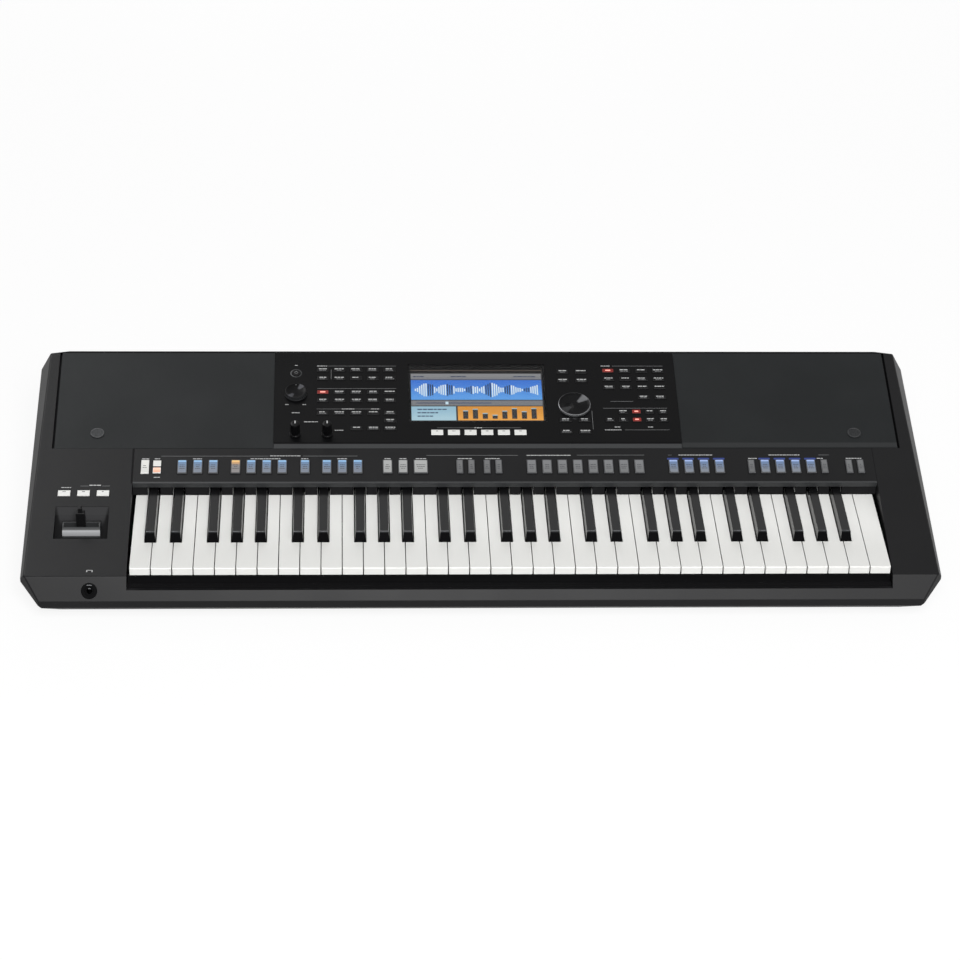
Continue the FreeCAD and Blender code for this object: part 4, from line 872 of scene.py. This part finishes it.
# fans and the rim's front brightness are painted highlights
turning = {"fanEdge": (0.93, 0.99), "fanSoft": 3, "rimSoft": 0.3, "rimLight": 0.6, "rimShade": 0.4}


def ringLook(name, knob, settings):  # fine turned rings about the knob's own axis, with painted highlights: fans across the face and a rim brighter at the front
    look = Look(name)
    across = look.axes()[0] - knob["x"]
    along = look.upSlope() - knob["v"]
    reach = (across * across + along * along).root().larger(0.01)
    rings = (reach * math.tau / settings["pitch"]).sine() * 0.5 + 0.5
    turn = math.radians(settings["fanTurn"])
    facing = (across * math.cos(turn) + along * math.sin(turn)) / reach
    fanHighlights = facing.step(*turning["fanEdge"]) + (0 - facing).step(*turning["fanEdge"]) * settings["farFan"]
    fanHighlights = fanHighlights * reach.step(settings["fanStart"], settings["fanStart"] + turning["fanSoft"])
    rim = reach.step(settings["rim"], settings["rim"] + turning["rimSoft"])
    rim = rim * (turning["rimLight"] - along / reach * turning["rimShade"])
    fine = look.noise(1500)
    body = look.mix(tone(*settings["dark"]), tone(*settings["light"]), rings * 0.5 + fine * 0.5)
    body = look.mix(body, tone(*settings["fanHighlight"]), fanHighlights * (rings * 0.3 + 0.7))
    look.paint(Base_Color=look.mix(body, tone(*settings["edge"]), rim), Roughness=fine * 0.1 + settings["rough"],
               Metallic=rim * settings["rimMetal"], Normal=look.bump(rings, settings["bump"], 0.0001),
               Specular_IOR_Level=settings["shine"])
    return look


volumeKnob = {"x": -210.3, "v": panelV + 87.5, "w": 2.2, "steps": 180,
              "flutes": {"count": 30, "depth": 0.3 / 13, "low": 1.4, "high": 4.5, "reach": 11.9},
              "pointer": (0, 10.4, 4.3, 0.8, 2.2, 0.35, 1, 0.3),
              "profile": [(0, 2.9), (3.05, 2.9), (3.05, 0), (12.6, 0), (13, 0.4), (13, 1.2), (12.8, 1.5), (12.75, 2.4),
                          (12.7, 3.4), (12.6, 4.2), (12.2, 4.8), (11.7, 5), (11.2, 4.9), (10.6, 4.5), (8, 4.1),
                          (5, 3.9), (2.5, 3.8), (0, 3.8)]}
# fanHighlight and edge: painted highlight tones on the volume cap
volumeRings = {"pitch": 0.7, "rim": 11.6, "dark": (5, 5, 6), "light": (10, 10, 11), "edge": (34, 35, 36),
               "rough": 0.24, "rimMetal": 0, "fanTurn": 52, "farFan": 0.8, "fanStart": 3.5, "fanHighlight": (82, 83, 87),
               "bump": 0.35, "shine": 0.08}
looks["volumeRings"] = ringLook("volumeRings", volumeKnob, volumeRings)


def makeKnob(body, x, lookNames, settings):
    shape = spun(settings["profile"], settings["steps"])
    flute(shape, **settings["flutes"])
    addTile(shape, *settings["pointer"])
    newPiece(body + "_cap", shape, lookNames, body, [body], onTop(x, settings["v"], settings["w"]))


makeKnob("volume_knob", volumeKnob["x"], ["volumeRings", "inkGrey"], volumeKnob)

liveKnobs = {"places": {"live_knob_left": -210.5, "live_knob_right": -173.8}, "v": panelV + 20.5, "w": 2.2,
             "steps": 96, "flutes": {"count": 16, "depth": 0.3 / 6.5, "low": 2.4, "high": 17.0, "reach": 5},
             "pointer": (0, 2.2, 18.0, 1.3, 4.2, 0.1, 1, 0.2),
             "profile": [(0, 8.4), (3.05, 8.4), (3.05, 0), (6.2, 0), (6.5, 0.4), (6.5, 1.6), (6.2, 2.2), (5.7, 2.6),
                         (5.5, 9.0), (5.35, 16.6), (5.0, 17.6), (4.3, 18.0), (2.5, 18.0), (0, 18.0)]}
for body, x in liveKnobs["places"].items():
    makeKnob(body, x, ["knobBlack", "inkWhite"], liveKnobs)

dataDial = {"x": 113.9, "v": panelV + 67.5, "w": 2.2, "steps": 128, "face": 2.7,
            "profile": [(0, 1.4), (3.05, 1.4), (3.05, 0), (18.6, 0), (19, 0.4), (19, 2.4), (18.7, 3.1), (18.1, 3.4),
                        (17.4, 3.3), (16.8, 2.8)],
            "dimple": {"reach": 7.0, "radius": 5.5, "depth": 0.9, "turn": 208}}
# fanHighlight and edge: painted highlights on the dial, the rim brightest at the front
dialRings = {"pitch": 0.5, "rim": 18.0, "dark": (6, 6, 7), "light": (13, 13, 14), "edge": (150, 151, 153),
             "rough": 0.2, "rimMetal": 0.9, "fanTurn": 40, "farFan": 0.2, "fanStart": 4, "fanHighlight": (112, 113, 115),
             "bump": 0.5, "shine": 0.08}
looks["dialRings"] = ringLook("dialRings", dataDial, dialRings)


def makeDial(settings):  # low dial with a finger dimple
    rings = [(0.6 + 0.8 * i, settings["face"]) for i in range(20)]
    shape = spun(settings["profile"] + rings[::-1] + [(0, settings["face"])], settings["steps"])
    dimple = settings["dimple"]
    turn = math.radians(dimple["turn"])
    centre = Vector((math.cos(turn), math.sin(turn))) * dimple["reach"]
    for vert in shape.verts:
        away = (vert.co.xy - centre).length / dimple["radius"]
        if away < 1 and vert.co.z > settings["face"] - 0.2:
            vert.co.z -= dimple["depth"] * (1 - away * away)
    newPiece("data_dial_cap", shape, ["dialRings"], "data_dial", ["data_dial"],
             onTop(settings["x"], settings["v"], settings["w"]))


makeDial(dataDial)
print("knobs and dial")

powerMark = {"x": -210.3, "v": panelV + 122.0, "w": 3.0, "bar": (0, 1.6, 0, 0.45, 1.9, 0.08),
             "profile": [(1.5, 0), (1.9, 0), (1.9, 0.06), (1.5, 0.06), (1.5, 0)]}


def markPower(settings):  # plain ring and bar, the common standby mark
    shape = spun(settings["profile"], 40)
    addTile(shape, *settings["bar"])
    newPiece("power_button_mark", shape, ["inkGrey"], "power_button",
             place=onTop(settings["x"], settings["v"], settings["w"]))


markPower(powerMark)

powerSeat = {"profile": [(5.6, 0), (6.8, 0), (6.6, 0.12), (5.6, 0.12), (5.6, 0)]}


def addPowerSeat(settings):  # shallow ring moulded round the power button
    newPiece("power_button_seat", spun(settings["profile"], 64), ["rimMetal"], "case",
             place=onTop(powerMark["x"], powerMark["v"], panelW))


addPowerSeat(powerSeat)

badgeRing = {"x": 437.5, "v": 221.5, "w": 0.8, "profile": [(6.6, 0), (6.8, 0.3), (7.5, 0.3), (7.7, 0), (6.6, 0)]}


def addBadgeRings(settings):  # raised rim of each blank badge
    shape = spun(settings["profile"], 64)
    twin = bmesh.ops.duplicate(shape, geom=shape.verts[:] + shape.edges[:] + shape.faces[:])["geom"]
    bmesh.ops.translate(shape, verts=[part for part in twin if isinstance(part, bmesh.types.BMVert)],
                        vec=(settings["x"] * 2, 0, 0))
    newPiece("badge_rings", shape, ["rimMetal"], "case",
             place=onTop(-settings["x"], settings["v"], settings["w"]))


addBadgeRings(badgeRing)

# rim: a metal tile placed as a painted glint at the top of the jack's mouth; leaf: the spring contact
headphoneMouth = {"place": (-0.4347, -0.19347, 0.04492), "tilt": math.radians(90) - math.atan2(15.5, 23.4),
                  "rim": (0, 6.4, -1.2, 5.4, 0.8, 0.1, 0, 0.3), "leaf": (0, 2.55, -20, 3.0, 0.9, 14, 0, 0.2)}


def addHeadphoneGlintAndContact(settings):  # metal tile at the top of the mouth as a painted glint, and the spring contact inside the bore
    shape = bmesh.new()
    addTile(shape, *settings["rim"])
    addTile(shape, *settings["leaf"])
    place = Matrix.Translation(settings["place"]) @ Matrix.Rotation(settings["tilt"], 4, "X") @ Matrix.Scale(mm, 4)
    newPiece("headphone_glint_and_contact", shape, ["rimMetal"], "case", place=place)


addHeadphoneGlintAndContact(headphoneMouth)

camera = {"place": (-0.1583, -2.9786, 2.0028), "pitch": 33.021, "yaw": 3.088, "roll": 1.622, "lens": 115.55,
          "sensor": 36.0, "reach": 60}


def addCamera(settings):
    pitch, yaw, roll = (math.radians(settings[turn]) for turn in ("pitch", "yaw", "roll"))
    ahead = Vector((math.sin(yaw) * math.cos(pitch), math.cos(yaw) * math.cos(pitch), -math.sin(pitch)))
    right = Vector((math.cos(yaw), -math.sin(yaw), 0))
    up = right.cross(ahead)
    across = right * math.cos(roll) + up * math.sin(roll)
    upright = up * math.cos(roll) - right * math.sin(roll)
    data = bpy.data.cameras.new("camera")
    data.lens = settings["lens"]
    data.sensor_width = settings["sensor"]
    data.clip_end = settings["reach"]
    eye = bpy.data.objects.new("camera", data)
    eye.matrix_world = Matrix.Translation(settings["place"]) @ Matrix((across, upright, -ahead)).transposed().to_4x4()
    bpy.context.scene.collection.objects.link(eye)
    bpy.context.scene.camera = eye


addCamera(camera)

lamps = {
    "softKey": {"place": (0.1, -3.0, 2.7), "aim": (0, 0, 0.05), "size": 1.4, "power": 174},
    "softFill": {"place": (2.0, -2.7, 1.7), "aim": (0, 0, 0.05), "size": 2.0, "power": 20},
    "softBack": {"place": (-1.5, 1.25, 2.3), "aim": (-0.4, 0, 0.08), "size": 1.5, "power": 37, "hideFrom": "diffuse"},
    "softRear": {"place": (0, 3.2, 0.6), "aim": (0, 0, 0.05), "size": 2.0, "power": 60, "hideFrom": "glossy"},
}


def addLamp(name, settings):
    data = bpy.data.lights.new(name, "AREA")
    data.energy = settings["power"]
    data.size = settings["size"]
    lamp = bpy.data.objects.new(name, data)
    place = Vector(settings["place"])
    turn = (Vector(settings["aim"]) - place).to_track_quat("-Z", "Y").to_matrix().to_4x4()
    lamp.matrix_world = Matrix.Translation(place) @ turn
    lamp.visible_diffuse = settings.get("hideFrom") != "diffuse"  # a reflector card, seen in the gloss alone
    lamp.visible_glossy = settings.get("hideFrom") != "glossy"  # a fill that leaves no bright spot
    bpy.context.scene.collection.objects.link(lamp)


for name, settings in lamps.items():
    addLamp(name, settings)

studio = {"skyLight": 0.2, "skySeen": 0.8, "floorTone": (250, 250, 250), "floorReach": 30.0, "floorOwn": 0.88,
          "floorRough": 0.85}


def addStudio(settings):
    scene = bpy.context.scene
    scene.world = bpy.data.worlds.new("studio")
    scene.world.use_nodes = True
    sky = Graph(scene.world.node_tree)
    soft = sky.node("ShaderNodeBackground", inputs={"Color": (1, 1, 1, 1), "Strength": settings["skyLight"]})
    pale = sky.node("ShaderNodeBackground", inputs={"Color": (1, 1, 1, 1), "Strength": settings["skySeen"]})
    both = sky.node("ShaderNodeMixShader", inputs={0: sky.seen(), 1: soft, 2: pale})
    sky.feed(sky.tree.nodes["World Output"].inputs["Surface"], both)

    shape = bmesh.new()
    bmesh.ops.create_grid(shape, x_segments=1, y_segments=1, size=settings["floorReach"])
    mesh = bpy.data.meshes.new("floor")
    shape.to_mesh(mesh)
    shape.free()
    floor = bpy.data.objects.new("floor", mesh)
    scene.collection.objects.link(floor)
    look = Look("floorPale")
    grain = look.noise(3)
    look.paint(Base_Color=look.mix(tone(*settings["floorTone"]), darker(settings["floorTone"], 4), grain),
               Roughness=grain * 0.1 + settings["floorRough"])
    own = look.node("ShaderNodeEmission", inputs={"Color": (1, 1, 1, 1), "Strength": 1.0})
    share = look.seen() * settings["floorOwn"]
    look.cover(look.node("ShaderNodeMixShader", inputs={0: share, 1: Wire(look, look.shader.outputs[0]), 2: own}))
    mesh.materials.append(look.material)
    scene.view_settings.view_transform = "Standard"


addStudio(studio)
print("camera, lamps and floor")
